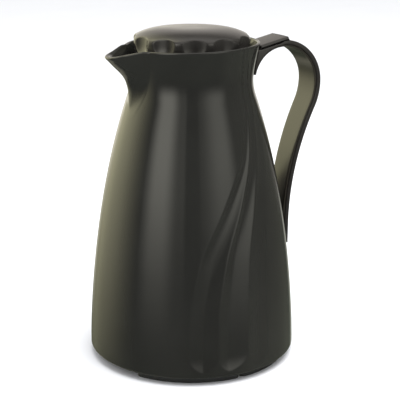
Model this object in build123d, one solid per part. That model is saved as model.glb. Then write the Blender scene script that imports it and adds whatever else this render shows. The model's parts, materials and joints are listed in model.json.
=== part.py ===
from build123d import *
import os
from math import acos, atan2, cos, degrees, hypot, radians, sin, sqrt

# Glass-lined thermal jug with a twist lid.  Millimetres, +Z up.  The origin is on the jug's
# axis, on the plane that it stands on.  The handle points along +X and the spout along -X.

# ---------------------------------------------------------------- driving dimensions
# body shell
BASE_RADIUS = 75.15          # widest part of the shell, just above its lower edge
SHELL_BOTTOM_Z = 5.7         # lower edge of the shell
SHELL_EDGE_ROUND = 1.1       # rounding of that edge
BELLY_Z = 8.0                # the flank starts to lean in here
BELLY_PULL = 10.0            # how far it stays upright above that
SHOULDER_PULL = 81.8         # how far the flank's upper slope reaches down
RIM_Z = 227.5                # rim height at the axis
RIM_RADIUS = 48.3
RIM_RISE = 1.3               # the rim is this much higher at the handle than at the axis
RIM_PULL = 20.0
RIM_SLOPE = 0.258            # radius gained per height at the rim
KNEE_DROP = 36.75            # the flank turns into the neck this far below the rim
KNEE_RADIUS = 45.8
KNEE_SLOPE = 0.336
KNEE_PULL = 10.2
SHELL_WALL = 3.2
STOP_LEDGE_Z = 20.0          # ledge inside the shell that the base cap comes up against
STOP_LEDGE_THICK = 2.0
STOP_LEDGE_DEPTH = 3.2

# spout, as stations down from the rim: drop, reach beyond the neck, nose radius, half angle
SPOUT_STATIONS = (
    (43.0, -0.2, 8.0, 9.0),
    (35.0, 2.4, 8.5, 15.0),
    (28.0, 4.6, 9.0, 19.0),
    (22.0, 6.8, 9.5, 21.5),
    (17.0, 10.2, 10.0, 24.0),
    (13.0, 13.6, 10.5, 25.6),
    (9.0, 16.2, 11.0, 26.8),
    (5.0, 17.4, 11.5, 27.8),
    (-3.0, 18.0, 12.0, 29.0),
)
SPOUT_WALL = 3.0
SPOUT_FLOOR_LIFT = 2.4       # the channel's floor lies this far above the keel
SPOUT_FALL = 0.25            # fall of the spout's top edge, height per reach
SPOUT_CHANNEL_DROP = 24.0    # the channel starts this far below the rim

# wave flutes, one row a flute: height above the base and angle from the handle at four
# stations from foot to top, the half widths there, and the depths
FLUTE_HEIGHTS = (26.0, 80.0, 140.0, 192.0)
FLUTE_ANGLES = ((109.5, 103.5, 85.5, 67.0), (92.5, 89.0, 73.0, 58.0), (76.5, 73.0, 60.5, 49.5))
FLUTE_HALF_WIDTHS = (10.6, 9.6, 5.8, 2.6)
FLUTE_DEPTHS = (1.9, 1.7, 1.0, 0.4)

# handle
HANDLE_STAND_OFF = 51.3      # its outermost point is this far beyond the rim
HANDLE_REACH_DROP = 32.0     # and this far below it
HANDLE_LOOP_RADIUS = 31.6
HANDLE_BACK_RADIUS = 45.0
HANDLE_TAIL_BLEND_Z = 88.0   # the strap runs upright below this
HANDLE_TAIL_Z = 73.6         # its lower end
HANDLE_WIDTH = 25.0
STRAP_THICK = 3.3
STRIP_THICK = 1.5
STRIP_MARGIN = 1.0           # the inner strip is this much narrower on each side
HANDLE_EDGE_ROUND = 0.6
ROOT_FOOT_DROP = 24.5        # the root's thin lower end is this far below the rim
ROOT_FOOT_THICK = 1.3
ROOT_SWEEP = 80.0
BRIDGE_LENGTH = 23.2         # from the rim to the thumb pad's outer edge
BRIDGE_PEAK_LIFT = 2.0       # the pad's outer edge stands this far above the rim height
BRIDGE_START_DROP = 3.4
PAD_THICK = 3.0
PAD_TOE = 1.5                # how far the pad's outer edge leans out at its foot
PAD_ROUND = 1.2
HANDLE_SCREW_SPACING = 11.0
HANDLE_SCREW_DROP = 9.5
TAIL_SCREW_Z = 79.5
ROOT_SCREW_DEPTH = 7.0

# glass liner
MOUTH_DROP = 35.5            # the glass lip is this far below the rim
MOUTH_RADIUS = 28.0
GLASS_WALL = 1.5
NECK_VACUUM = 2.5
BODY_VACUUM = 4.0
LINER_CLEARANCE = 3.0
LINER_BOTTOM_Z = 22.0
LINER_BOTTOM_DEPTH = 38.0
LINER_SHOULDER_DROP = 122.5  # the shoulder starts this far below the rim
LINER_NECK_LENGTH = 13.0
LINER_SHOULDER_PULL = 45.0
LINER_NECK_PULL = 25.0
TIP_RADIUS = 3.0
TIP_LENGTH = 6.5
SPACER_RADIUS = 6.0
SPACER_COUNT = 3
SPACER_Z = 72.0

# base cap and what stands on it
CAP_PLATE_Z = 3.8
CAP_PLATE_THICK = 3.0
CAP_WALL = 3.0
CAP_RING_GAP = 1.0           # between the standing ring and the feet
CAP_RING_WALL = 4.5
TOWER_RADIUS = 34.0
TOWER_WALL = 5.0
TOWER_TOP_Z = 18.5
GRIP_COUNT = 3
GRIP_RADIUS = 11.0
GRIP_PLACE = 45.0
GRIP_DEPTH = 1.8
FOOT_MARGIN = 2.25           # the feet lie this far inside the cap's edge
FOOT_DEPTH = 7.4
FOOT_ARC = 64.3
FOOT_CENTRES = (-117.9, -52.5, 52.5, 117.9)
GASKET_THICK = 1.6
CUSHION_EXTRA = 2.5
TIP_GUARD_WALL = 3.0
CENTRING_RING_DROP = 137.0
CENTRING_RING_HEIGHT = 9.0

# neck collar
COLLAR_FLANGE_THICK = 3.0
COLLAR_SKIRT_WALL = 2.0
COLLAR_SKIRT_LENGTH = 11.0
COLLAR_BORE_STEP = 1.2       # the collar's bore is this much wider than the glass mouth
COLLAR_WALL = 2.2
COLLAR_HEIGHT = 18.0
MOUTH_GASKET_THICK = 2.0
LEDGE_COUNT = 3
LEDGE_ARC = 50.0
LEDGE_GAP = 0.55             # between the ledges' edges and the lid's drum
LEDGE_THICK = 2.4
SPOUT_TURN = 180.0           # angle of the spout from the handle
POUR_WINDOW_ARC = 48.0
POUR_WINDOW_HEIGHT = 9.5
KEY_ANGLES = (60.0, 300.0)
KEY_WIDTH = 5.0
KEY_LENGTH = 8.0
O_RING_SECTION = 0.75        # radius of the rubber's section
VALVE_RING_PROUD = 0.1       # the valve's ring stands this far out of its groove

# stopper, which lifts out but doesn't turn
PLUG_CLEARANCE = 1.7         # between the plug and the glass mouth
PLUG_WALL = 2.0
PLUG_LENGTH = 34.0
PLUG_FLANGE_THICK = 2.0
PORT_ARC = 28.0
PORT_HEIGHT = 9.0
DIVIDER_THICK = 3.0
DIVIDER_DROP = 18.5          # the divider's top is this far below the flange's underside
DIVIDER_SLOTS = 4
DIVIDER_SLOT_ARC = 62.0
DIVIDER_SLOT_INNER = 10.0
SEAL_HEIGHT = 4.5
SEAL_DROP = 24.0

# lid, which turns on the stopper
LID_RIM_MARGIN = 6.6         # the knob's ridges lie this far inside the rim's outer edge
LID_RIDGE_LIFT = 6.2         # the ridges' tops stand this far above the rim height
LID_CROWN = 5.8              # and the crown this far above them
LID_FULLNESS = 0.72          # how far out the crown stays high, as a share of its radius
LID_SKIRT_GAP = 3.5          # between the lid's lower edge and the neck's inside
LID_SKIRT_DROP = 12.5
LID_WALL = 2.4
LID_EDGE_ROUND = 2.2
DIMPLE_COUNT = 12
DIMPLE_RADIUS = 19.0
DIMPLE_DEPTH = 3.0
DIMPLE_LEAN = 12.0
DIMPLE_TURN = 7.6
DRUM_PLATE_DROP = 9.0
DRUM_PLATE_THICK = 2.0
DRUM_WALL = 2.3
LUG_ARC = 40.0
LUG_THICK = 2.4
SLEEVE_WALL = 2.3
POST_RADIUS = 4.0
LID_TURN_TO_POUR = 30.0      # the lid's turn from released to pouring
BOSS_COUNT = 3
BOSS_RADIUS = 3.6
BOSS_PLACE = 28.0
FOAM_GAP = 1.5

# fasteners
SCREW_RADIUS = 1.5
SCREW_HEAD_RADIUS = 2.8
SCREW_HEAD_HEIGHT = 1.6
PIVOT_HEAD_RADIUS = 4.5
PIVOT_HEAD_HEIGHT = 2.2
WASHER_RADIUS = 8.0
WASHER_THICK = 0.8

# clearances
FIT = 0.15                   # between pieces that are fixed to each other
MOVE_GAP = 0.4               # between pieces that move on each other

# ---------------------------------------------------------------- sizes that follow
KNEE_Z = RIM_Z - KNEE_DROP
HANDLE_REACH = RIM_RADIUS + HANDLE_STAND_OFF
BRIDGE_PEAK_X = RIM_RADIUS + BRIDGE_LENGTH
COLLAR_BORE_RADIUS = MOUTH_RADIUS + COLLAR_BORE_STEP
PLUG_RADIUS = MOUTH_RADIUS - PLUG_CLEARANCE
LID_RIDGE_RADIUS = RIM_RADIUS - LID_RIM_MARGIN
CUT_MARGIN = 20.0            # how far a cutter runs past what it cuts
CUT_OVERLAP = 1.0            # the same, where another wall is close
RIM_TOP_EXTRA = 6.0          # the neck is drawn this much too tall and trimmed to the rim
HALVINGS = 40                # steps of the search for a height on the profile


def flank(inset=0.0):
    """The side of the shell from belly to knee, moved inwards by inset."""
    return Bezier(
        (BASE_RADIUS - inset, BELLY_Z),
        (BASE_RADIUS - inset, BELLY_Z + BELLY_PULL),
        (KNEE_RADIUS + KNEE_SLOPE * SHOULDER_PULL - inset, KNEE_Z - SHOULDER_PULL),
        (KNEE_RADIUS - inset, KNEE_Z),
    )


def neck(inset=0.0):
    """The waist and the flare above it, from knee to rim."""
    return Bezier(
        (KNEE_RADIUS - inset, KNEE_Z),
        (KNEE_RADIUS - KNEE_SLOPE * KNEE_PULL - inset, KNEE_Z + KNEE_PULL),
        (RIM_RADIUS - RIM_SLOPE * RIM_PULL - inset, RIM_Z - RIM_PULL),
        (RIM_RADIUS - inset, RIM_Z),
    )


FLANK = flank()
NECK = neck()


def shell_radius(z):
    """Outer radius of the round part of the shell at a height."""
    if z <= BELLY_Z:
        return BASE_RADIUS
    if z >= RIM_Z:
        return RIM_RADIUS + RIM_SLOPE * (z - RIM_Z)
    curve = FLANK if z < KNEE_Z else NECK
    low = 0.0
    high = 1.0
    for _ in range(HALVINGS):
        middle = (low + high) / 2
        if (curve @ middle).Y < z:
            low = middle
        else:
            high = middle
    return (curve @ low).X


LID_SKIRT_RADIUS = shell_radius(RIM_Z - LID_SKIRT_DROP) - SHELL_WALL - LID_SKIRT_GAP


# ---------------------------------------------------------------- helpers
def spin(*edges, arc=360.0):
    """Turn a closed outline, drawn as radius and height, about the axis."""
    return revolve(Plane.XZ * make_face(Curve() + list(edges)), Axis.Z, arc)


def outline(*points):
    return Polyline(*points, close=True)


def ring(inner, outer, low, high):
    """A plain tube about the axis."""
    body = post(outer, low, high)
    if inner <= 0:
        return body
    return body - post(inner, low - CUT_OVERLAP, high + CUT_OVERLAP)


def sector(inner, outer, low, high, centre, arc):
    """A piece of such a tube, arc degrees wide about the angle centre."""
    face = Plane.XZ * make_face(outline((inner, low), (outer, low), (outer, high), (inner, high)))
    return Rot(0, 0, centre - arc / 2) * revolve(face, Axis.Z, arc)


def post(radius, low, high, x=0.0, y=0.0):
    return Pos(x, y, low) * Cylinder(radius, high - low, align=(Align.CENTER, Align.CENTER, Align.MIN))


def cross_post(radius, start, end, y, z):
    """A round bar along X."""
    bar = Cylinder(radius, end - start, align=(Align.CENTER, Align.CENTER, Align.MIN))
    return Pos(start, y, z) * Rot(0, 90, 0) * bar


def polar(radius, angle):
    return radius * cos(radians(angle)), radius * sin(radians(angle))


# ---------------------------------------------------------------- body shell
def shell_outline(inset, bottom, top_extra):
    """The round body as one closed outline from the axis out, filled to the axis."""
    top_radius = RIM_RADIUS + RIM_SLOPE * top_extra - inset
    foot = Polyline((0, bottom), (BASE_RADIUS - inset, bottom), (BASE_RADIUS - inset, BELLY_Z))
    top_z = RIM_Z + top_extra
    top = Polyline((RIM_RADIUS - inset, RIM_Z), (top_radius, top_z), (0, top_z), (0, bottom))
    return spin(*foot.edges(), flank(inset), neck(inset), *top.edges())


def spout_section(z, reach, nose, half_angle):
    """One level of the spout: a round nose and two flat flanks that run back to the neck."""
    radius = shell_radius(z)
    side_x = -radius * cos(radians(half_angle))
    side_y = radius * sin(radians(half_angle))
    centre_x = -(radius + reach - nose)
    to_side = hypot(side_x - centre_x, side_y)
    turn = atan2(side_y, side_x - centre_x) + acos(nose / to_side)
    touch_x = centre_x + nose * cos(turn)
    touch_y = nose * sin(turn)
    back_x = side_x + SHELL_WALL * 2
    edges = Polyline((touch_x, touch_y), (side_x, side_y), (back_x, side_y), (back_x, -side_y),
                     (side_x, -side_y), (touch_x, -touch_y))
    tip = ThreePointArc((touch_x, -touch_y), (centre_x - nose, 0), (touch_x, touch_y))
    return Pos(0, 0, z) * make_face(edges + tip)


def spout_solid():
    return loft([spout_section(RIM_Z - drop, reach, nose, angle)
                 for drop, reach, nose, angle in SPOUT_STATIONS])


def spout_channel():
    """The hollow of the spout, which follows the outside a wall's thickness in."""
    sections = []
    for drop, reach, nose, angle in SPOUT_STATIONS:
        if drop <= SPOUT_CHANNEL_DROP:
            inner_angle = angle - degrees(SPOUT_WALL / RIM_RADIUS)
            z = RIM_Z - drop + SPOUT_FLOOR_LIFT
            sections.append(spout_section(z, reach - SPOUT_WALL, nose - SPOUT_WALL, inner_angle))
    return loft(sections)


def rim_trim():
    """What is taken off above the rim's tilt and the spout's falling top edge."""
    rise = RIM_RISE / RIM_RADIUS
    far = BASE_RADIUS + CUT_MARGIN
    break_z = RIM_Z - rise * RIM_RADIUS
    spout_z = break_z - SPOUT_FALL * (far - RIM_RADIUS)
    top = RIM_Z + RIM_TOP_EXTRA + CUT_MARGIN
    handle_z = RIM_Z + rise * far
    line = outline((-far, spout_z), (-RIM_RADIUS, break_z), (far, handle_z), (far, top), (-far, top))
    return extrude(Plane.XZ * make_face(line), far, both=True)


def flute_cutter(angles, side):
    """A tapering round bar laid along the flank, whose underside scoops out one flute."""
    centres = []
    radii = []
    for z, angle, half, depth in zip(FLUTE_HEIGHTS, angles, FLUTE_HALF_WIDTHS, FLUTE_DEPTHS):
        bar = (half * half + depth * depth) / (2 * depth)
        x, y = polar(shell_radius(z) + bar - depth, side * angle)
        centres.append(Vector(x, y, z))
        radii.append(bar)
    path = Spline(*centres)
    sections = []
    for centre, radius in zip(centres, radii):
        along = path % path.param_at_point(centre)
        sections.append(Plane(centre, z_dir=along) * Circle(radius))
    foot = Pos(*centres[0]) * Sphere(radii[0])
    return loft(sections), foot


def body_shell():
    body = shell_outline(0.0, SHELL_BOTTOM_Z, RIM_TOP_EXTRA)
    edge = body.edges().filter_by(GeomType.CIRCLE).group_by(Axis.Z)[0]
    body = fillet(edge, SHELL_EDGE_ROUND)
    for angles in FLUTE_ANGLES:
        for side in (-1, 1):
            for cutter in flute_cutter(angles, side):
                body -= cutter
    body += spout_solid()
    body -= rim_trim()
    body -= shell_outline(SHELL_WALL, SHELL_BOTTOM_Z - CUT_MARGIN, RIM_TOP_EXTRA + CUT_MARGIN)
    body -= spout_channel()
    inside = shell_radius(STOP_LEDGE_Z) - SHELL_WALL
    body += ring(inside - STOP_LEDGE_DEPTH, inside + FIT, STOP_LEDGE_Z, STOP_LEDGE_Z + STOP_LEDGE_THICK)
    return body - handle_screw_holes()


# ---------------------------------------------------------------- handle
def handle_centres():
    """Where the strap's three arcs are centred, and where the lower two meet."""
    centre_z = RIM_Z - HANDLE_REACH_DROP
    loop = Vector(HANDLE_REACH - HANDLE_LOOP_RADIUS, centre_z)
    back = Vector(HANDLE_REACH - HANDLE_BACK_RADIUS, centre_z)
    tail_x = handle_tail_x()
    across = tail_x - back.X
    down = centre_z - HANDLE_TAIL_BLEND_Z
    lower_radius = (across**2 + down**2 - HANDLE_BACK_RADIUS**2) / (2 * (HANDLE_BACK_RADIUS - across))
    lower = Vector(tail_x + lower_radius, HANDLE_TAIL_BLEND_Z)
    return loop, back, lower, lower_radius


def handle_tail_x():
    """The outer face of the strap's tail, which lies against the shell."""
    return shell_radius(HANDLE_TAIL_Z) + FIT + STRAP_THICK + STRIP_THICK


def handle_line(inset):
    """The strap's line from the top of the loop to its lower end, inset from the outer face."""
    loop, back, lower, lower_radius = handle_centres()
    swing = degrees(atan2(back.Y - lower.Y, lower.X - back.X))
    top = CenterArc(loop, HANDLE_LOOP_RADIUS - inset, 90, -90)
    middle = CenterArc(back, HANDLE_BACK_RADIUS - inset, 0, -swing)
    bottom = CenterArc(lower, lower_radius + inset, 180 - swing, swing)
    tail = Line(bottom @ 1, ((bottom @ 1).X, HANDLE_TAIL_Z))
    return top, middle, bottom, tail


def strap_face(outer, inner):
    """The outline between two such lines."""
    first = handle_line(outer)
    second = handle_line(inner)
    top = Line(first[0] @ 0, second[0] @ 0)
    end = Line(first[3] @ 1, second[3] @ 1)
    return make_face(Curve() + [*first, end, *second, top])


def root_corner():
    """The inside corner between the bridge and the root, from the bridge down to the neck."""
    loop = handle_centres()[0]
    inner_top = loop.Y + HANDLE_LOOP_RADIUS - STRAP_THICK - STRIP_THICK
    radius = loop.X - shell_radius(RIM_Z - ROOT_FOOT_DROP) - FIT - ROOT_FOOT_THICK
    return CenterArc((loop.X, inner_top - radius), radius, 90, ROOT_SWEEP)


def root_face():
    """The bridge from the rim out to the loop, and the root that stands against the neck."""
    corner = root_corner()
    inner_end = corner @ 0
    foot = corner @ 1
    start_z = bridge_top_z(RIM_RADIUS) - PAD_THICK
    stations = (start_z, (foot.Y + start_z) / 2, foot.Y)
    against = [(shell_radius(z) + FIT, z) for z in stations]
    top = (inner_end.X, bridge_top_z(inner_end.X) - PAD_THICK)
    edge = Polyline((inner_end.X, inner_end.Y), top, *against, (foot.X, foot.Y))
    return make_face(Curve() + [edge, corner])


def bridge_top_z(x):
    """Height of the thumb pad's top, which rises from the rim outwards."""
    rise = (BRIDGE_PEAK_LIFT + BRIDGE_START_DROP) / (BRIDGE_PEAK_X - RIM_RADIUS)
    return RIM_Z - BRIDGE_START_DROP + rise * (x - RIM_RADIUS)


def slab(face, width):
    return extrude(Plane.XZ * face, width / 2, both=True)


def strap_blank():
    return slab(strap_face(0.0, STRAP_THICK) + root_face(), HANDLE_WIDTH)


def handle_strap():
    """The outer half of the handle: bridge, loop and tail in one piece."""
    strap = strap_blank()
    sides = strap.faces().filter_by(Axis.Y)
    strap = fillet(sides.edges(), HANDLE_EDGE_ROUND)
    return strap - root_screw_bores() - tail_screw_bore()


def handle_inner_strip():
    """The strip that closes the strap's inner face."""
    strip = slab(strap_face(STRAP_THICK, STRAP_THICK + STRIP_THICK), HANDLE_WIDTH - 2 * STRIP_MARGIN)
    return strip - tail_screw_bore()


def handle_thumb_pad():
    """The cover on the bridge, which steps down to the strap at its outer edge."""
    inner_x = RIM_RADIUS + FIT + RIM_SLOPE
    low = bridge_top_z(inner_x) - PAD_THICK
    face = make_face(outline((inner_x, low), (inner_x, bridge_top_z(inner_x)),
                             (BRIDGE_PEAK_X, bridge_top_z(BRIDGE_PEAK_X)),
                             (BRIDGE_PEAK_X + PAD_TOE, bridge_top_z(BRIDGE_PEAK_X) - PAD_THICK)))
    pad = slab(face, HANDLE_WIDTH)
    crown = pad.faces().sort_by(Axis.Z)[-1]
    return fillet(crown.edges(), PAD_ROUND) - strap_blank()


def screw_along_x(head_x, depth, y, z):
    """A screw driven outwards along +X, its head's outer face at head_x."""
    head = cross_post(SCREW_HEAD_RADIUS, head_x, head_x + SCREW_HEAD_HEIGHT, y, z)
    return head + cross_post(SCREW_RADIUS, head_x, depth, y, z)


def root_screw_places():
    z = RIM_Z - HANDLE_SCREW_DROP
    head_x = shell_radius(z) - SHELL_WALL - FIT
    return [(head_x, side * HANDLE_SCREW_SPACING / 2, z) for side in (-1, 1)]


def tail_screw_head_x():
    return shell_radius(TAIL_SCREW_Z) - SHELL_WALL - FIT


def handle_root_screws():
    depth = SHELL_WALL + ROOT_SCREW_DEPTH
    return [screw_along_x(x + FIT, x + depth, y, z) for x, y, z in root_screw_places()]


def handle_tail_screw():
    head_x = tail_screw_head_x() + FIT
    return screw_along_x(head_x, handle_tail_x() - STRAP_THICK / 2, 0, TAIL_SCREW_Z)


def root_screw_bores():
    bores = [cross_post(SCREW_RADIUS, x, x + SHELL_WALL + ROOT_SCREW_DEPTH + FIT, y, z)
             for x, y, z in root_screw_places()]
    return bores[0] + bores[1]


def tail_screw_bore():
    end = handle_tail_x() - STRAP_THICK / 2 + FIT
    return cross_post(SCREW_RADIUS, tail_screw_head_x(), end, 0, TAIL_SCREW_Z)


def handle_screw_holes():
    """Clearance holes through the shell, counterbored from inside for the heads."""
    places = root_screw_places() + [(tail_screw_head_x(), 0, TAIL_SCREW_Z)]
    holes = []
    for x, y, z in places:
        seat_x = x + SCREW_HEAD_HEIGHT + FIT
        holes.append(cross_post(SCREW_RADIUS + FIT, x - CUT_MARGIN / 2, x + CUT_MARGIN, y, z))
        holes.append(cross_post(SCREW_HEAD_RADIUS + FIT, x - CUT_MARGIN / 2, seat_x, y, z))
    return Part() + holes


# ---------------------------------------------------------------- glass liner
def liner_radius():
    return shell_radius(RIM_Z - LINER_SHOULDER_DROP) - SHELL_WALL - LINER_CLEARANCE


def glass_neck_radius():
    return MOUTH_RADIUS + 2 * GLASS_WALL + NECK_VACUUM


def glass_face(inset, neck_inset, tall=0.0):
    """Half the liner's section out to a surface that lies inset inside the outer one."""
    radius = liner_radius() - inset
    neck_r = glass_neck_radius() - neck_inset
    top_z = mouth_z() + tall
    centre_z = LINER_BOTTOM_Z + LINER_BOTTOM_DEPTH
    shoulder_z = RIM_Z - LINER_SHOULDER_DROP
    neck_z = mouth_z() - LINER_NECK_LENGTH
    dome = EllipticalCenterArc((0, centre_z), radius, LINER_BOTTOM_DEPTH - inset, 270, arc_size=90)
    side = Line((radius, centre_z), (radius, shoulder_z))
    shoulder = Bezier((radius, shoulder_z), (radius, shoulder_z + LINER_SHOULDER_PULL),
                      (neck_r, neck_z - LINER_NECK_PULL), (neck_r, neck_z))
    top = Polyline((neck_r, neck_z), (neck_r, top_z), (0, top_z), (0, LINER_BOTTOM_Z + inset))
    return [dome, side, shoulder, *top.edges()]


def glass_body(inset, neck_inset, tall=0.0):
    return spin(*glass_face(inset, neck_inset, tall))


def liner_outer_glass():
    glass = glass_body(0.0, 0.0) - glass_body(GLASS_WALL, GLASS_WALL, CUT_MARGIN)
    glass -= ring(0, liner_radius(), mouth_z() - GLASS_WALL, mouth_z() + CUT_MARGIN)
    tip = Cone(TIP_RADIUS / 2, TIP_RADIUS, TIP_LENGTH + GLASS_WALL / 2,
               align=(Align.CENTER, Align.CENTER, Align.MIN))
    return glass + Pos(0, 0, LINER_BOTTOM_Z - TIP_LENGTH) * tip


def liner_inner_glass():
    inset = GLASS_WALL + BODY_VACUUM
    neck_inset = GLASS_WALL + NECK_VACUUM
    glass = glass_body(inset, neck_inset)
    lip = ring(0, glass_neck_radius(), mouth_z() - GLASS_WALL, mouth_z())
    return glass + lip - glass_body(inset + GLASS_WALL, neck_inset + GLASS_WALL, CUT_MARGIN)


def liner_spacer_pads():
    """Round pads that keep the two walls of the liner apart."""
    outer = liner_radius() - GLASS_WALL - FIT / 2
    gap = ring(outer - BODY_VACUUM + FIT, outer, SPACER_Z - CUT_MARGIN, SPACER_Z + CUT_MARGIN)
    bar = cross_post(SPACER_RADIUS, 0, BASE_RADIUS, 0, SPACER_Z)
    pad = bar & gap
    return [Rot(0, 0, turn * 360 / SPACER_COUNT) * pad for turn in range(SPACER_COUNT)]


def liner_tip_guard():
    """A rubber cup that keeps the sealing tip off the base."""
    low = LINER_BOTTOM_Z - TIP_LENGTH - FIT - TIP_GUARD_WALL / 2
    cup = ring(0, TIP_RADIUS + TIP_GUARD_WALL, low, LINER_BOTTOM_Z - FIT)
    return cup - ring(0, TIP_RADIUS + FIT, LINER_BOTTOM_Z - TIP_LENGTH - FIT, LINER_BOTTOM_Z + CUT_MARGIN)


def liner_cushion():
    """The rubber ring that the liner's domed bottom sits in."""
    inner = TOWER_RADIUS - TOWER_WALL - CUSHION_EXTRA
    outer = TOWER_RADIUS + CUSHION_EXTRA
    radius = liner_radius()
    seat = LINER_BOTTOM_Z + LINER_BOTTOM_DEPTH * (1 - sqrt(1 - (outer / radius) ** 2))
    return ring(inner, outer, TOWER_TOP_Z, seat) - glass_body(-FIT, -FIT)


def liner_centring_ring():
    """A soft ring between the liner and the shell."""
    low = RIM_Z - CENTRING_RING_DROP
    high = low + CENTRING_RING_HEIGHT
    inside = liner_radius() + FIT
    return spin(outline((inside, low), (shell_radius(low) - SHELL_WALL - FIT, low),
                        (shell_radius(high) - SHELL_WALL - FIT, high), (inside, high)))


# ---------------------------------------------------------------- base
def base_cap():
    """The screw-in bottom, with a standing ring, a tower for the liner and finger hollows."""
    outer = cap_radius()
    top = CAP_PLATE_Z + CAP_PLATE_THICK
    rim_top = STOP_LEDGE_Z - GASKET_THICK
    cap = ring(0, outer, CAP_PLATE_Z, top)
    cap += ring(outer - CAP_WALL, outer, CAP_PLATE_Z, rim_top)
    cap += ring(standing_ring_radius() - CAP_RING_WALL, standing_ring_radius(), 0, top)
    cap += ring(TOWER_RADIUS - TOWER_WALL, TOWER_RADIUS, CAP_PLATE_Z, TOWER_TOP_Z)
    for turn in range(GRIP_COUNT):
        x, y = polar(GRIP_PLACE, turn * 360 / GRIP_COUNT + 180 / GRIP_COUNT)
        cap -= Pos(x, y, CAP_PLATE_Z - GRIP_RADIUS + GRIP_DEPTH) * Sphere(GRIP_RADIUS)
    return cap


def cap_radius():
    return shell_radius(STOP_LEDGE_Z) - SHELL_WALL - FIT


def foot_radius():
    return cap_radius() - FOOT_MARGIN


def standing_ring_radius():
    return foot_radius() - FOOT_DEPTH - CAP_RING_GAP


def base_gasket():
    outer = cap_radius()
    return ring(outer - CAP_WALL, outer, STOP_LEDGE_Z - GASKET_THICK, STOP_LEDGE_Z)


def base_feet():
    """Soft arcs under the base cap, the only thing that touches the table besides its ring."""
    return [sector(foot_radius() - FOOT_DEPTH, foot_radius(), 0, CAP_PLATE_Z, centre, FOOT_ARC)
            for centre in FOOT_CENTRES]


# ---------------------------------------------------------------- neck collar
def mouth_z():
    return RIM_Z - MOUTH_DROP


def flange_z():
    return mouth_z() + MOUTH_GASKET_THICK


def collar_top_z():
    return flange_z() + COLLAR_HEIGHT


def collar_radius():
    """The flange fits the neck at whichever of its faces the neck is narrower."""
    narrowest = min(shell_radius(flange_z()), shell_radius(flange_z() + COLLAR_FLANGE_THICK))
    return narrowest - SHELL_WALL - FIT


def ledge_radius():
    """How far out the bayonet's ledges reach, just inside the drum that turns round them."""
    return drum_radius() - DRUM_WALL - LEDGE_GAP


def neck_collar():
    """The ring between the liner and the shell: it holds the stopper and leads to the spout."""
    neck_r = glass_neck_radius() + FIT
    floor = flange_z() + COLLAR_FLANGE_THICK
    bore_outer = COLLAR_BORE_RADIUS + COLLAR_WALL
    collar = ring(COLLAR_BORE_RADIUS, collar_radius(), flange_z(), floor)
    collar += ring(neck_r, neck_r + COLLAR_SKIRT_WALL, mouth_z() - COLLAR_SKIRT_LENGTH, flange_z())
    collar += ring(COLLAR_BORE_RADIUS, bore_outer, flange_z(), collar_top_z())
    for turn in range(LEDGE_COUNT):
        centre = turn * 360 / LEDGE_COUNT
        collar += sector(bore_outer - FIT, ledge_radius(), collar_top_z() - LEDGE_THICK, collar_top_z(),
                         centre, LEDGE_ARC)
    collar -= sector(COLLAR_BORE_RADIUS - CUT_OVERLAP, bore_outer + CUT_OVERLAP, floor,
                     floor + POUR_WINDOW_HEIGHT, SPOUT_TURN, POUR_WINDOW_ARC)
    slot_low = collar_top_z() - KEY_LENGTH - MOVE_GAP
    for angle in KEY_ANGLES:
        collar -= key_bar(angle, KEY_WIDTH + 2 * MOVE_GAP, bore_outer + CUT_OVERLAP, slot_low,
                          collar_top_z() + CUT_MARGIN)
    groove_half = O_RING_SECTION + FIT
    return collar - ring(collar_radius() - 2 * O_RING_SECTION, collar_radius() + CUT_MARGIN,
                         o_ring_z() - groove_half, o_ring_z() + groove_half)


def o_ring_z():
    return flange_z() + COLLAR_FLANGE_THICK / 2


def key_bar(angle, width, reach, low, high):
    """A radial bar from the axis outwards, used for the stopper's keys and their slots."""
    bar = Pos(0, 0, low) * Box(reach, width, high - low, align=(Align.MIN, Align.CENTER, Align.MIN))
    return Rot(0, 0, angle) * bar


def collar_o_ring():
    return Pos(0, 0, o_ring_z()) * Torus(collar_radius() - O_RING_SECTION + FIT / 2, O_RING_SECTION)


def mouth_gasket():
    return ring(COLLAR_BORE_RADIUS - FIT, glass_neck_radius(), mouth_z(), flange_z())


# ---------------------------------------------------------------- stopper
def plug_flange_z():
    return collar_top_z() + MOVE_GAP


def divider_top_z():
    return plug_flange_z() - DIVIDER_DROP


def stopper_body():
    """The plug that sits in the glass mouth, keyed to the collar, with its pour port."""
    top = plug_flange_z() + PLUG_FLANGE_THICK
    inner = PLUG_RADIUS - PLUG_WALL
    body = ring(inner, PLUG_RADIUS, plug_flange_z() - PLUG_LENGTH, top)
    body += ring(inner, COLLAR_BORE_RADIUS + COLLAR_WALL, plug_flange_z(), top)
    divider = ring(POST_RADIUS + MOVE_GAP, inner + FIT, divider_top_z() - DIVIDER_THICK, divider_top_z())
    for turn in range(DIVIDER_SLOTS):
        centre = turn * 360 / DIVIDER_SLOTS + 180 / DIVIDER_SLOTS
        divider -= sector(DIVIDER_SLOT_INNER, inner - SLEEVE_WALL,
                          divider_top_z() - DIVIDER_THICK - CUT_OVERLAP,
                          divider_top_z() + CUT_OVERLAP, centre, DIVIDER_SLOT_ARC)
    body += divider
    body -= sector(inner - CUT_OVERLAP, PLUG_RADIUS + CUT_OVERLAP, port_z(), port_z() + PORT_HEIGHT,
                   SPOUT_TURN, PORT_ARC)
    keys = Part() + [
        key_bar(angle, KEY_WIDTH, COLLAR_BORE_RADIUS + COLLAR_WALL, collar_top_z() - KEY_LENGTH, top)
        for angle in KEY_ANGLES]
    return body + (keys - ring(0, PLUG_RADIUS - FIT, port_z() - CUT_MARGIN, top + CUT_MARGIN))


def port_z():
    return flange_z() + COLLAR_FLANGE_THICK + MOVE_GAP


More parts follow.
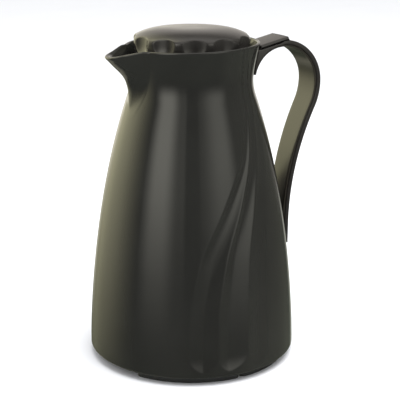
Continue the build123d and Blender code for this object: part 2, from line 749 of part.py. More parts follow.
def stopper_seal():
    """A two-lipped silicone ring round the plug."""
    high = plug_flange_z() - SEAL_DROP
    low = high - SEAL_HEIGHT
    middle = (low + high) / 2
    lip = MOUTH_RADIUS - MOVE_GAP
    waist = (PLUG_RADIUS + lip) / 2
    return spin(outline((PLUG_RADIUS, low), (lip, low), (waist, middle), (lip, high), (PLUG_RADIUS, high)))


# ---------------------------------------------------------------- lid
def drum_plate_z():
    return RIM_Z - DRUM_PLATE_DROP


def drum_radius():
    return LID_SKIRT_RADIUS - LID_WALL - FIT


def lid_outline():
    """Half the lid's section: a skirt that widens upwards, a rounded edge and a low dome."""
    edge_z = RIM_Z + LID_RIDGE_LIFT
    bottom_z = RIM_Z - LID_SKIRT_DROP
    crown = (0, edge_z + LID_CROWN)
    edge = (LID_RIDGE_RADIUS, edge_z - LID_EDGE_ROUND)
    shoulder = (LID_RIDGE_RADIUS - LID_EDGE_ROUND, edge_z)
    lean = (shoulder[0] * LID_FULLNESS, edge_z + LID_CROWN)
    skirt = Polyline((0, bottom_z), (LID_SKIRT_RADIUS, bottom_z), edge)
    corner = Bezier(edge, (LID_RIDGE_RADIUS, edge_z), shoulder)
    dome = Bezier(shoulder, lean, crown)
    return [*skirt.edges(), corner, dome, Line(crown, (0, bottom_z))]


def lid_ceiling_z():
    return RIM_Z + LID_RIDGE_LIFT - LID_WALL


def lid_hollow_radius():
    return LID_RIDGE_RADIUS - DIMPLE_DEPTH - LID_WALL


def lid_cap():
    """The dimpled knob: a domed shell with three screw bosses inside."""
    cap = spin(*lid_outline())
    scoop = Rot(0, -DIMPLE_LEAN, 0) * Cylinder(DIMPLE_RADIUS, RIM_Z)
    place = Pos(LID_RIDGE_RADIUS + DIMPLE_RADIUS - DIMPLE_DEPTH, 0, RIM_Z + LID_RIDGE_LIFT)
    for turn in range(DIMPLE_COUNT):
        cap -= Rot(0, 0, DIMPLE_TURN + turn * 360 / DIMPLE_COUNT) * place * scoop
    cap -= ring(0, lid_hollow_radius(), RIM_Z - CUT_MARGIN, lid_ceiling_z())
    cap -= ring(0, LID_SKIRT_RADIUS - LID_WALL, RIM_Z - CUT_MARGIN, drum_plate_z() + DRUM_PLATE_THICK)
    for x, y in boss_places():
        boss = post(BOSS_RADIUS, drum_plate_z() + DRUM_PLATE_THICK, lid_ceiling_z() + FIT, x, y)
        cap += boss - post(SCREW_RADIUS, drum_plate_z(), RIM_Z, x, y)
    return cap


def boss_places():
    return [polar(BOSS_PLACE, DIMPLE_TURN + turn * 360 / BOSS_COUNT) for turn in range(BOSS_COUNT)]


def lid_drum():
    """The turning half of the bayonet: plate, lugged skirt, valve sleeve and centre post."""
    plate = drum_plate_z()
    top = plate + DRUM_PLATE_THICK
    outer = drum_radius()
    lug_z = collar_top_z() - LEDGE_THICK - MOVE_GAP
    skirt_inner = outer - DRUM_WALL
    sleeve = sleeve_radius()
    drum = ring(0, outer, plate, top)
    drum += ring(skirt_inner, outer, lug_z - LUG_THICK, top)
    for turn in range(LEDGE_COUNT):
        centre = (turn + 0.5) * 360 / LEDGE_COUNT
        drum += sector(COLLAR_BORE_RADIUS + COLLAR_WALL + MOVE_GAP, skirt_inner + FIT, lug_z - LUG_THICK,
                       lug_z, centre, LUG_ARC)
    drum += ring(sleeve - SLEEVE_WALL, sleeve, divider_top_z() + MOVE_GAP, top)
    drum -= sector(sleeve - SLEEVE_WALL - CUT_OVERLAP, sleeve + CUT_OVERLAP, port_z(),
                   port_z() + PORT_HEIGHT, SPOUT_TURN - LID_TURN_TO_POUR, PORT_ARC)
    drum += post(POST_RADIUS, post_low_z(), top)
    drum -= post(SCREW_RADIUS, post_low_z() - CUT_OVERLAP, plate)
    groove_half = O_RING_SECTION + FIT
    drum -= ring(sleeve - 2 * O_RING_SECTION, sleeve + CUT_OVERLAP, valve_ring_z() - groove_half,
                 valve_ring_z() + groove_half)
    for x, y in boss_places():
        drum -= post(SCREW_RADIUS + FIT, plate - CUT_OVERLAP, top + CUT_OVERLAP, x, y)
    return drum


def sleeve_radius():
    return PLUG_RADIUS - PLUG_WALL - MOVE_GAP


def post_low_z():
    return divider_top_z() - DIVIDER_THICK - MOVE_GAP


def valve_ring_z():
    return (port_z() + PORT_HEIGHT + plug_flange_z() + PLUG_FLANGE_THICK) / 2


def valve_o_ring():
    radius = sleeve_radius() - O_RING_SECTION + VALVE_RING_PROUD
    return Pos(0, 0, valve_ring_z()) * Torus(radius, O_RING_SECTION)


def lid_foam():
    """The insulating block in the lid's hollow, cut round the bosses."""
    low = drum_plate_z() + DRUM_PLATE_THICK
    top = lid_ceiling_z() - FOAM_GAP
    foam = ring(0, lid_hollow_radius() - FOAM_GAP, low, top)
    for x, y in boss_places():
        foam -= post(BOSS_RADIUS + FOAM_GAP / 2, low - CUT_OVERLAP, top + CUT_OVERLAP, x, y)
    return foam


def lid_screws():
    plate = drum_plate_z()
    head_low = plate - SCREW_HEAD_HEIGHT
    return [post(SCREW_HEAD_RADIUS, head_low, plate, x, y) + post(SCREW_RADIUS, head_low, RIM_Z, x, y)
            for x, y in boss_places()]


def pivot_washer():
    return ring(SCREW_RADIUS + FIT, WASHER_RADIUS, post_low_z() - WASHER_THICK, post_low_z())


def pivot_screw():
    """The screw up the centre post, which holds stopper and lid together."""
    head_top = post_low_z() - WASHER_THICK
    head_low = head_top - PIVOT_HEAD_HEIGHT
    return post(PIVOT_HEAD_RADIUS, head_low, head_top) + post(SCREW_RADIUS, head_low, drum_plate_z())


# ---------------------------------------------------------------- writing the pieces
PIECES = {
    "body_shell": body_shell,
    "handle_strap": handle_strap,
    "handle_inner_strip": handle_inner_strip,
    "handle_thumb_pad": handle_thumb_pad,
    "handle_root_screws": handle_root_screws,
    "handle_tail_screw": handle_tail_screw,
    "liner_outer_glass": liner_outer_glass,
    "liner_inner_glass": liner_inner_glass,
    "liner_spacer_pads": liner_spacer_pads,
    "liner_tip_guard": liner_tip_guard,
    "liner_cushion": liner_cushion,
    "liner_centring_ring": liner_centring_ring,
    "base_cap": base_cap,
    "base_gasket": base_gasket,
    "base_feet": base_feet,
    "neck_collar": neck_collar,
    "collar_o_ring": collar_o_ring,
    "mouth_gasket": mouth_gasket,
    "stopper_body": stopper_body,
    "stopper_seal": stopper_seal,
    "lid_cap": lid_cap,
    "lid_drum": lid_drum,
    "lid_foam": lid_foam,
    "lid_screws": lid_screws,
    "valve_o_ring": valve_o_ring,
    "pivot_washer": pivot_washer,
    "pivot_screw": pivot_screw,
}


def solids_of(made):
    if isinstance(made, list):
        return [solid for piece in made for solid in piece.solids()]
    return made.solids()


os.makedirs("parts", exist_ok=True)
for name, make in PIECES.items():
    export_step(Compound(children=solids_of(make())), os.path.join("parts", name + ".step"))
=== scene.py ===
import json
import math

import bmesh
import bpy
import numpy as np
from bpy.props import FloatProperty, FloatVectorProperty, IntProperty, PointerProperty
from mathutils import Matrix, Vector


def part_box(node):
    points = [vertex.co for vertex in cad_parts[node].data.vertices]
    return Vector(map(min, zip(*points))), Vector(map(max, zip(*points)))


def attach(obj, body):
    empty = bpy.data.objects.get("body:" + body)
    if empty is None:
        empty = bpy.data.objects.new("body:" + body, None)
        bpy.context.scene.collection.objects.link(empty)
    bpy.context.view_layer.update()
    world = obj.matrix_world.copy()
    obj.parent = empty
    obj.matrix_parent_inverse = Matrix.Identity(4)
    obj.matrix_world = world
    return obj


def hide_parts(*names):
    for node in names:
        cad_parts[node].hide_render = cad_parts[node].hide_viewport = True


bl_info = {
    "name": "Thermal Jug",
    "version": (1, 0, 0),
    "blender": (4, 5, 0),
    "location": "View3D > Sidebar > Jug",
    "description": "Builds the finished surfaces of a glass-lined thermal jug around its packed frame",
    "category": "Add Mesh",
}

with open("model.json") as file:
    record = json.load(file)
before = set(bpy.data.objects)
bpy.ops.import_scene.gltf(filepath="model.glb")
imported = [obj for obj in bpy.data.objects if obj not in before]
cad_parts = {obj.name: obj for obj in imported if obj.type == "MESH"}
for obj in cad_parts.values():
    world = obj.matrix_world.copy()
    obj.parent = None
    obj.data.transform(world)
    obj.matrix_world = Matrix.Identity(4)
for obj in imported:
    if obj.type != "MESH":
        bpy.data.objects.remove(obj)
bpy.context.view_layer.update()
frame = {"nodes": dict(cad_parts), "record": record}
MM = 0.001


# ------------------------------------------------------------------ settings
def length(name, description, millimetres):
    return FloatProperty(name=name, description=description, default=millimetres * MM, unit="LENGTH",
                         precision=5)


def angle(name, description, degrees):
    return FloatProperty(name=name, description=description, default=math.radians(degrees), subtype="ANGLE")


def ratio(name, description, value):
    return FloatProperty(name=name, description=description, default=value)


def colour(name, description, value):
    return FloatVectorProperty(name=name, description=description, default=value, size=3, subtype="COLOR",
                               min=0.0, max=1.0)


class JugShellSettings(bpy.types.PropertyGroup):
    """Sizes of the body shell."""
    base_radius: length("Base radius", "Widest part of the shell", 75.15)
    edge_z: length("Lower edge", "Height of the shell's lower edge", 5.7)
    edge_round: length("Edge rounding", "Rounding of the lower edge", 1.4)
    belly_z: length("Belly height", "Where the flank starts to lean in", 8.0)
    belly_pull: length("Belly pull", "How far the flank stays upright", 10.0)
    shoulder_pull: length("Shoulder pull", "Reach of the flank's upper slope", 81.8)
    rim_z: length("Rim height", "Height of the rim at the axis", 227.5)
    rim_radius: length("Rim radius", "Outer radius at the rim", 48.3)
    rim_rise: length("Rim rise", "How much higher the rim is at the handle", 1.3)
    rim_pull: length("Rim pull", "Reach of the flare", 20.0)
    rim_slope: ratio("Rim slope", "Radius gained per height at the rim", 0.258)
    knee_drop: length("Knee drop", "Where the flank turns into the neck, below the rim", 36.75)
    knee_radius: length("Knee radius", "Radius there", 45.8)
    knee_slope: ratio("Knee slope", "Radius lost per height there", 0.336)
    knee_pull: length("Knee pull", "Reach of the waist", 10.2)
    wall: length("Wall", "Wall thickness", 3.2)
    rim_wall: length("Rim wall", "Wall thickness at the rim", 2.4)
    spout_wall: length("Spout wall", "Wall thickness of the spout", 3.0)
    spout_fall: ratio("Spout fall", "Fall of the spout's top edge per reach", 0.25)
    crease: length("Crease softness", "Rounding where the spout meets the neck", 0.5)
    flute_depth: length("Flute depth", "Deepest part of the wave flutes", 2.1)
    ledge_z: length("Ledge height", "Underside of the ledge that the base cap meets", 20.0)
    ledge_thick: length("Ledge thickness", "Thickness of that ledge", 2.0)
    ledge_depth: length("Ledge depth", "How far that ledge reaches inwards", 3.2)


class JugHandleSettings(bpy.types.PropertyGroup):
    """Sizes of the handle."""
    reach: length("Reach", "Outermost point from the axis", 99.6)
    reach_drop: length("Reach drop", "How far below the rim that point is", 32.0)
    loop_radius: length("Loop radius", "Outer radius of the loop's top", 31.6)
    back_radius: length("Back radius", "Outer radius of the loop's back", 45.0)
    tail_x: length("Tail face", "Outer face of the tail", 75.7)
    tail_blend_z: length("Tail blend", "The strap runs upright below this height", 88.0)
    tail_z: length("Tail end", "Height of the strap's lower end", 73.6)
    width: length("Width", "Width of the strap", 25.0)
    strap: length("Strap thickness", "Thickness of the outer half", 3.3)
    strip: length("Strip thickness", "Thickness of the inner strip", 1.5)
    margin: length("Strip margin", "The strip is this much narrower on each side", 0.8)
    edge: length("Edge rounding", "Rounding of the long edges", 0.9)
    gap: length("Gap", "Clearance between the handle and the neck", 0.15)
    root_drop: length("Root foot", "The root's thin lower end is this far below the rim", 24.5)
    root_foot: length("Root foot thickness", "Thickness of that end", 1.3)
    root_sweep: angle("Root sweep", "Sweep of the inside corner", 80.0)
    bridge_length: length("Bridge length", "From the rim to the thumb pad's outer edge", 23.2)
    bridge_lift: length("Bridge lift", "Height of that edge above the rim", 2.0)
    bridge_start_drop: length("Bridge start", "How far below the rim the pad starts", 3.4)
    pad: length("Pad thickness", "Thickness of the thumb pad", 3.0)
    pad_toe: length("Pad toe", "How far the pad's outer edge leans out at its foot", 1.5)
    pad_round: length("Pad rounding", "Rounding of the pad's edges", 1.1)


class JugLidSettings(bpy.types.PropertyGroup):
    """Sizes of the lid."""
    ridge_radius: length("Ridge radius", "Radius of the ridges between the dimples", 41.6)
    ridge_lift: length("Ridge lift", "Height of the ridges above the rim", 6.2)
    crown: length("Crown", "Height of the crown above the ridges", 5.3)
    skirt_radius: length("Skirt radius", "Radius at the lower edge", 40.2)
    skirt_drop: length("Skirt drop", "Depth of the lower edge below the rim", 12.5)
    dimples: IntProperty(name="Dimples", description="Thumb dimples round the knob", default=12)
    dimple_depth: length("Dimple depth", "Depth of a dimple at the top", 3.0)
    dimple_turn: angle("Dimple turn", "Angle of the first dimple", 7.6)
    dimple_radius: length("Dimple radius", "Radius of the bar that cuts a dimple", 19.0)
    dimple_length: length("Dimple length", "How far down the side a dimple runs", 11.0)
    dimple_soft: length("Dimple side rounding", "Rounding of the ridges between dimples", 0.35)
    dimple_edge: length("Dimple edge rounding", "Rounding where a dimple meets the crown", 0.8)
    edge_round: length("Edge rounding", "Rounding of the ridges' tops", 2.2)
    wall: length("Wall", "Thickness of the knob's wall", 2.4)
    foot_round: length("Lower edge rounding", "Rounding of the skirt's lower edge", 0.6)


class JugBaseSettings(bpy.types.PropertyGroup):
    """Sizes of the feet and screws."""
    foot_radius: length("Foot radius", "Outer radius of the feet", 69.4)
    foot_depth: length("Foot depth", "Width of a foot", 7.4)
    foot_arc: angle("Foot arc", "Length of a foot round the base", 64.3)
    foot_near: angle("Near foot", "Angle of the feet beside the handle", 52.5)
    foot_far: angle("Far foot", "Angle of the feet beside the spout", 117.9)
    foot_edge: length("Foot edge", "Rounding of a foot's lower edges", 0.8)
    screw_radius: length("Screw radius", "Radius of a screw's shank", 1.5)
    screw_head_radius: length("Screw head radius", "Radius of a screw's head", 2.8)
    screw_head_height: length("Screw head height", "Height of a screw's head", 1.6)
    boss_place: length("Boss place", "Distance of the lid's screws from the axis", 28.0)


class JugFinishSettings(bpy.types.PropertyGroup):
    """Colours of the jug's plastics."""
    shell: colour("Shell", "Body shell plastic", (0.0185, 0.0185, 0.0165))
    handle: colour("Handle", "Handle plastic", (0.021, 0.019, 0.017))
    strip: colour("Strip", "Inner strip plastic", (0.024, 0.021, 0.016))
    lid: colour("Lid", "Lid plastic", (0.024, 0.022, 0.020))


# ------------------------------------------------------------------ curves
def bezier(points, count):
    """Points along a cubic curve of four control points."""
    t = np.linspace(0.0, 1.0, count)[:, None]
    p = np.array(points)
    return (1 - t) ** 3 * p[0] + 3 * (1 - t) ** 2 * t * p[1] + 3 * (1 - t) * t * t * p[2] + t ** 3 * p[3]


def hermite(stations, at):
    """A smooth curve through stations of (place, value) that never overshoots them."""
    x, y = np.array(stations, float).T
    step = np.diff(x)
    slope = np.diff(y) / step
    inner = np.where(slope[:-1] * slope[1:] > 0, 2 / (1 / np.where(slope[:-1] == 0, 1, slope[:-1])
                     + 1 / np.where(slope[1:] == 0, 1, slope[1:])), 0)
    tangent = np.concatenate([[slope[0]], inner, [slope[-1]]])
    place = np.clip(at, x[0], x[-1])
    i = np.clip(np.searchsorted(x, place) - 1, 0, len(step) - 1)
    t = (place - x[i]) / step[i]
    return ((2 * t ** 3 - 3 * t ** 2 + 1) * y[i] + (t ** 3 - 2 * t ** 2 + t) * step[i] * tangent[i]
            + (3 * t ** 2 - 2 * t ** 3) * y[i + 1] + (t ** 3 - t ** 2) * step[i] * tangent[i + 1])


def smooth_max(a, b, softness):
    """The larger of two values, with the corner between them rounded over."""
    h = np.clip(0.5 + 0.5 * (a - b) / softness, 0, 1)
    return b + (a - b) * h + softness * h * (1 - h)


def smoothstep(low, high, value):
    t = np.clip((value - low) / (high - low), 0, 1)
    return t * t * (3 - 2 * t)


# ------------------------------------------------------------------ mesh helpers
AXIS = 1e-7                  # the radius of a ring that stands for a point on the axis


def tidy_normals(made, degrees, gap=2e-6, thin=True):
    """Merges corners nearer than gap, turns the faces outwards and shades them."""
    shape = bmesh.new()
    shape.from_mesh(made.data)
    bmesh.ops.remove_doubles(shape, verts=shape.verts, dist=gap)
    if thin:
        bmesh.ops.dissolve_degenerate(shape, edges=shape.edges, dist=1e-7)
    bmesh.ops.recalc_face_normals(shape, faces=shape.faces)
    shape.to_mesh(made.data)
    shape.free()
    made.data.shade_smooth()
    made.data.set_sharp_from_angle(angle=math.radians(degrees))


def new_object(name, vertices, faces, smooth_degrees=40):
    """A mesh object at the origin from plain lists, with its normals turned outwards."""
    mesh = bpy.data.meshes.new(name)
    mesh.from_pydata([tuple(v) for v in vertices], [], [tuple(f) for f in faces])
    made = bpy.data.objects.new(name, mesh)
    bpy.context.scene.collection.objects.link(made)
    tidy_normals(made, smooth_degrees, 1e-6, False)
    return made


def turned(rows, angles):
    """Points of rows of (radius, height), each placed at every angle about the axis."""
    return np.vstack([np.column_stack([r * np.cos(angles), r * np.sin(angles), angles * 0 + z])
                      for r, z in rows])


def grid_faces(rows, columns, close_rows=False):
    """Quads of a grid whose columns run all the way round."""
    faces = []
    last = rows if close_rows else rows - 1
    for i in range(last):
        low = i * columns
        high = (i + 1) % rows * columns
        for j in range(columns):
            k = (j + 1) % columns
            faces.append((low + j, low + k, high + k, high + j))
    return faces


def capped_faces(rows, columns):
    """Quads of a tube of rows, and a face over each end."""
    last = (rows - 1) * columns
    return [*grid_faces(rows, columns), tuple(range(columns)), tuple(range(last, last + columns))]


def apply_modifiers(made):
    """Turns the modifiers' result into the object's own mesh."""
    bpy.context.view_layer.update()
    depsgraph = bpy.context.evaluated_depsgraph_get()
    done = bpy.data.meshes.new_from_object(made.evaluated_get(depsgraph))
    made.modifiers.clear()
    made.data = done
    return made


# ------------------------------------------------------------------ materials
NOISE_SPAN = (0.3, 0.7)      # a noise pattern's values mostly lie between these


def feed(tree, socket, value):
    """Links another node's output to a socket, or sets the socket's own value."""
    if isinstance(value, bpy.types.NodeSocket):
        tree.links.new(value, socket)
    else:
        socket.default_value = value


def node(tree, kind, inputs=None, **values):
    """A new node with its settings, and with its sockets fed by name or by place."""
    made = tree.nodes.new(kind)
    for key, value in values.items():
        setattr(made, key, value)
    for socket, value in (inputs or {}).items():
        feed(tree, made.inputs[socket], value)
    return made


def math_node(tree, operation, first, second=0.0):
    return node(tree, "ShaderNodeMath", {0: first, 1: second}, operation=operation).outputs[0]


def surface(name):
    """A material with a principled shader and nothing else."""
    material = bpy.data.materials.new(name)
    material.use_nodes = True
    tree = material.node_tree
    tree.nodes.clear()
    shader = node(tree, "ShaderNodeBsdfPrincipled")
    node(tree, "ShaderNodeOutputMaterial", {"Surface": shader.outputs["BSDF"]})
    return material, tree, shader


def noise(tree, scale, detail=2.0, roughness=0.5):
    """A noise pattern on Object coordinates, scale in cells per metre."""
    place = node(tree, "ShaderNodeTexCoord").outputs["Object"]
    sockets = {"Vector": place, "Scale": scale, "Detail": detail, "Roughness": roughness}
    return node(tree, "ShaderNodeTexNoise", sockets).outputs["Fac"]


def map_range(tree, value, start, end, first, last, kind="LINEAR"):
    """Maps start to end onto first to last."""
    sockets = {"Value": value, "From Min": start, "From Max": end, "To Min": first, "To Max": last}
    return node(tree, "ShaderNodeMapRange", sockets, interpolation_type=kind).outputs["Result"]


def ramp(tree, factor, low, high):
    """Maps a noise pattern onto a range."""
    return map_range(tree, factor, *NOISE_SPAN, low, high)


def two_tone(tree, factor, first, second):
    sockets = {"Factor": factor, "A": (*first, 1), "B": (*second, 1)}
    return node(tree, "ShaderNodeMix", sockets, data_type="RGBA").outputs["Result"]


def bump(tree, shader, height, strength, distance):
    made = node(tree, "ShaderNodeBump", {"Height": height, "Strength": strength, "Distance": distance})
    feed(tree, shader.inputs["Normal"], made.outputs["Normal"])


def shade(colour, share):
    return tuple(min(1.0, c * share) for c in colour)


def grained(name, tones, tone_grain, gloss, gloss_grain, relief, relief_grain, **values):
    """A material of three noise grains: in its colour, in its roughness and in its relief."""
    material, tree, shader = surface(name)
    feed(tree, shader.inputs["Base Color"], two_tone(tree, noise(tree, *tone_grain), *tones))
    feed(tree, shader.inputs["Roughness"], ramp(tree, noise(tree, *gloss_grain), *gloss))
    bump(tree, shader, noise(tree, *relief_grain), *relief)
    for socket, value in values.items():
        shader.inputs[socket.replace("_", " ")].default_value = value
    return material


def polished_plastic(name, base, gloss=0.10):
    """Moulded plastic: faint flow marks in the colour, handling smudges in the gloss, orange peel."""
    return grained(name, (shade(base, 0.65), shade(base, 1.35)), (14.0, 3.0), (gloss * 0.8, gloss * 1.25),
                   (38.0, 5.0, 0.62), (0.04, 0.00002), (900.0, 1.0), IOR=1.50)


def moulded_plastic(name, base, gloss=0.42):
    """Matt plastic with the fine texture of a spark-eroded mould."""
    return grained(name, (shade(base, 0.85), shade(base, 1.1)), (30.0, 4.0), (gloss * 0.85, gloss * 1.2),
                   (120.0, 3.0), (0.25, 0.00005), (2600.0, 2.0))


def soft_rubber(name, base, gloss=0.6, translucency=0.0):
    """Rubber or silicone, a little dusty."""
    return grained(name, (shade(base, 0.8), shade(base, 1.2)), (60.0, 4.0), (gloss * 0.9, gloss * 1.15),
                   (200.0, 3.0), (0.2, 0.00005), (1500.0, 3.0),
                   Subsurface_Weight=translucency, Subsurface_Scale=0.002)


def silvered_glass(name):
    """Glass with a silver coat behind it, slightly uneven as chemical silvering is."""
    return grained(name, ((0.78, 0.79, 0.78), (0.93, 0.92, 0.89)), (25.0, 5.0), (0.03, 0.08), (70.0, 4.0),
                   (0.05, 0.0003), (45.0, 2.0), Metallic=1.0, Coat_Weight=1.0)


def brushed_steel(name):
    return grained(name, ((0.50, 0.50, 0.49), (0.66, 0.66, 0.64)), (300.0, 4.0), (0.22, 0.4), (900.0, 4.0),
                   (0.15, 0.00003), (2200.0, 2.0), Metallic=1.0)


def cellular_foam(name, base):
    """Foam with open cells cut through at its surface."""
    material, tree, shader = surface(name)
    place = node(tree, "ShaderNodeTexCoord").outputs["Object"]
    cells = node(tree, "ShaderNodeTexVoronoi", {"Vector": place, "Scale": 420.0}).outputs["Distance"]
    feed(tree, shader.inputs["Base Color"], two_tone(tree, cells, base, shade(base, 0.82)))
    shader.inputs["Roughness"].default_value = 0.9
    bump(tree, shader, cells, 0.6, 0.0004)
    return material


FINISHES = {}


def finish(slot):
    """The material of a record slot, made the first time it is asked for."""
    colours = bpy.context.scene.jug_finish
    finishes = {
        "shell_plastic": (polished_plastic, tuple(colours.shell)),
        "handle_plastic": (polished_plastic, tuple(colours.handle), 0.14),
        "strip_plastic": (polished_plastic, tuple(colours.strip), 0.22),
        "lid_plastic": (polished_plastic, tuple(colours.lid), 0.17),
        "inner_plastic": (moulded_plastic, (0.030, 0.030, 0.029)),
        "stopper_plastic": (moulded_plastic, (0.30, 0.30, 0.29), 0.36),
        "silicone": (soft_rubber, (0.70, 0.70, 0.66), 0.4, 0.3),
        "black_rubber": (soft_rubber, (0.022, 0.022, 0.022)),
        "silvered_glass": (silvered_glass,),
        "mineral_pad": (cellular_foam, (0.62, 0.60, 0.55)),
        "foam": (cellular_foam, (0.88, 0.88, 0.85)),
        "steel": (brushed_steel,),
    }
    if slot not in FINISHES:
        maker, *values = finishes[slot]
        FINISHES[slot] = maker(slot, *values)
    return FINISHES[slot]


def dress(made, slot, body, *replaced):
    """Gives a new piece its finish, its body and the frame nodes that it stands for."""
    made.data.materials.clear()
    made.data.materials.append(finish(slot))
    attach(made, body)
    if replaced:
        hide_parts(*replaced)
    return made


# ------------------------------------------------------------------ body shell
# stations down from the rim, in millimetres: reach beyond the neck, nose radius, half angle in degrees
SPOUT_REACH = ((-3, 18.0), (5, 17.4), (9, 16.2), (13, 13.6), (17, 10.2), (22, 6.8), (28, 4.6), (35, 2.4),
               (43, -0.2), (48, -2.5))
SPOUT_NOSE = ((-3, 12.0), (5, 11.5), (13, 11.0), (28, 10.0), (43, 9.5))
SPOUT_ANGLE = ((-3, 29.0), (5, 27.8), (13, 25.8), (22, 22.4), (28, 20.2), (35, 17.0), (43, 12.0), (48, 7.5))
BEAD_PROUD = 0.9             # the lip's bead stands this far out of the spout's tip
BEAD_DEPTH = 3.2             # and is this deep
BEAD_ANGLE = 13.0            # it fades out this many degrees from the middle
SPOUT_LIMIT = 33.0           # the spout lies within this many degrees of its middle
SPOUT_FOOT_DROP = 48.0       # its keel runs out this far below the rim
SPOUT_SHRINK = 0.35          # its surface draws back beyond its sides, so that the neck takes over
LIP_REACH = 46.0             # beyond this distance from the axis the spout's top edge falls
LIP_SOFT = 1.5               # and starts to fall this gently
LIP_RAISE = 0.4              # the whole edge is raised by its fall over this length
LIP_SIGHT_DROP = 3.0         # the edge's reach is read this far below the rim
CHANNEL_FLOOR_DROP = 19.5    # where the spout's channel starts, below the rim
CHANNEL_START = 3.0          # over this height it opens
CHANNEL_LIFT = 2.4           # its floor lies this far above the keel

# ridges of the wave flutes: height above the base in millimetres and angle from the handle in degrees
FLUTE_RIDGES = (
    ((8, 117.4), (45, 116.6), (85, 110.8), (125, 93.8), (160, 75.8), (195, 66.5), (226, 71.0)),
    ((8, 101.0), (45, 100.4), (85, 95.2), (125, 81.8), (160, 68.6), (195, 60.5), (226, 66.3)),
    ((8, 84.2), (45, 83.0), (85, 80.2), (125, 71.2), (160, 60.5), (195, 53.3), (226, 61.3)),
    ((8, 69.0), (45, 68.5), (85, 66.0), (125, 60.0), (160, 51.0), (195, 46.7), (226, 54.6)),
)
FLUTE_FOOT_Z = 9.5           # the flutes end here
FLUTE_FOOT_LENGTH = 11.0     # and run out over this height
FLUTE_FADE = ((0, 1.0), (90, 1.0), (130, 0.78), (165, 0.52), (195, 0.36), (230, 0.26))   # depth over height
FLUTE_SHARE = (1.0, 0.9, 0.45)                  # depth of each flute
FLUTE_VALLEY = (0.5, 0.36, 0.5)                 # where its deepest line lies, across from the upper ridge
FLUTE_SHARP = 0.5            # near the base a flute is this much a plain V
FLUTE_SHARP_SPAN = (110, 60)                    # the V comes in between these heights


def spout_off(angles):
    """Angle from the spout's middle, between minus and plus half a turn."""
    return np.arctan2(np.sin(angles - math.pi), np.cos(angles - math.pi))


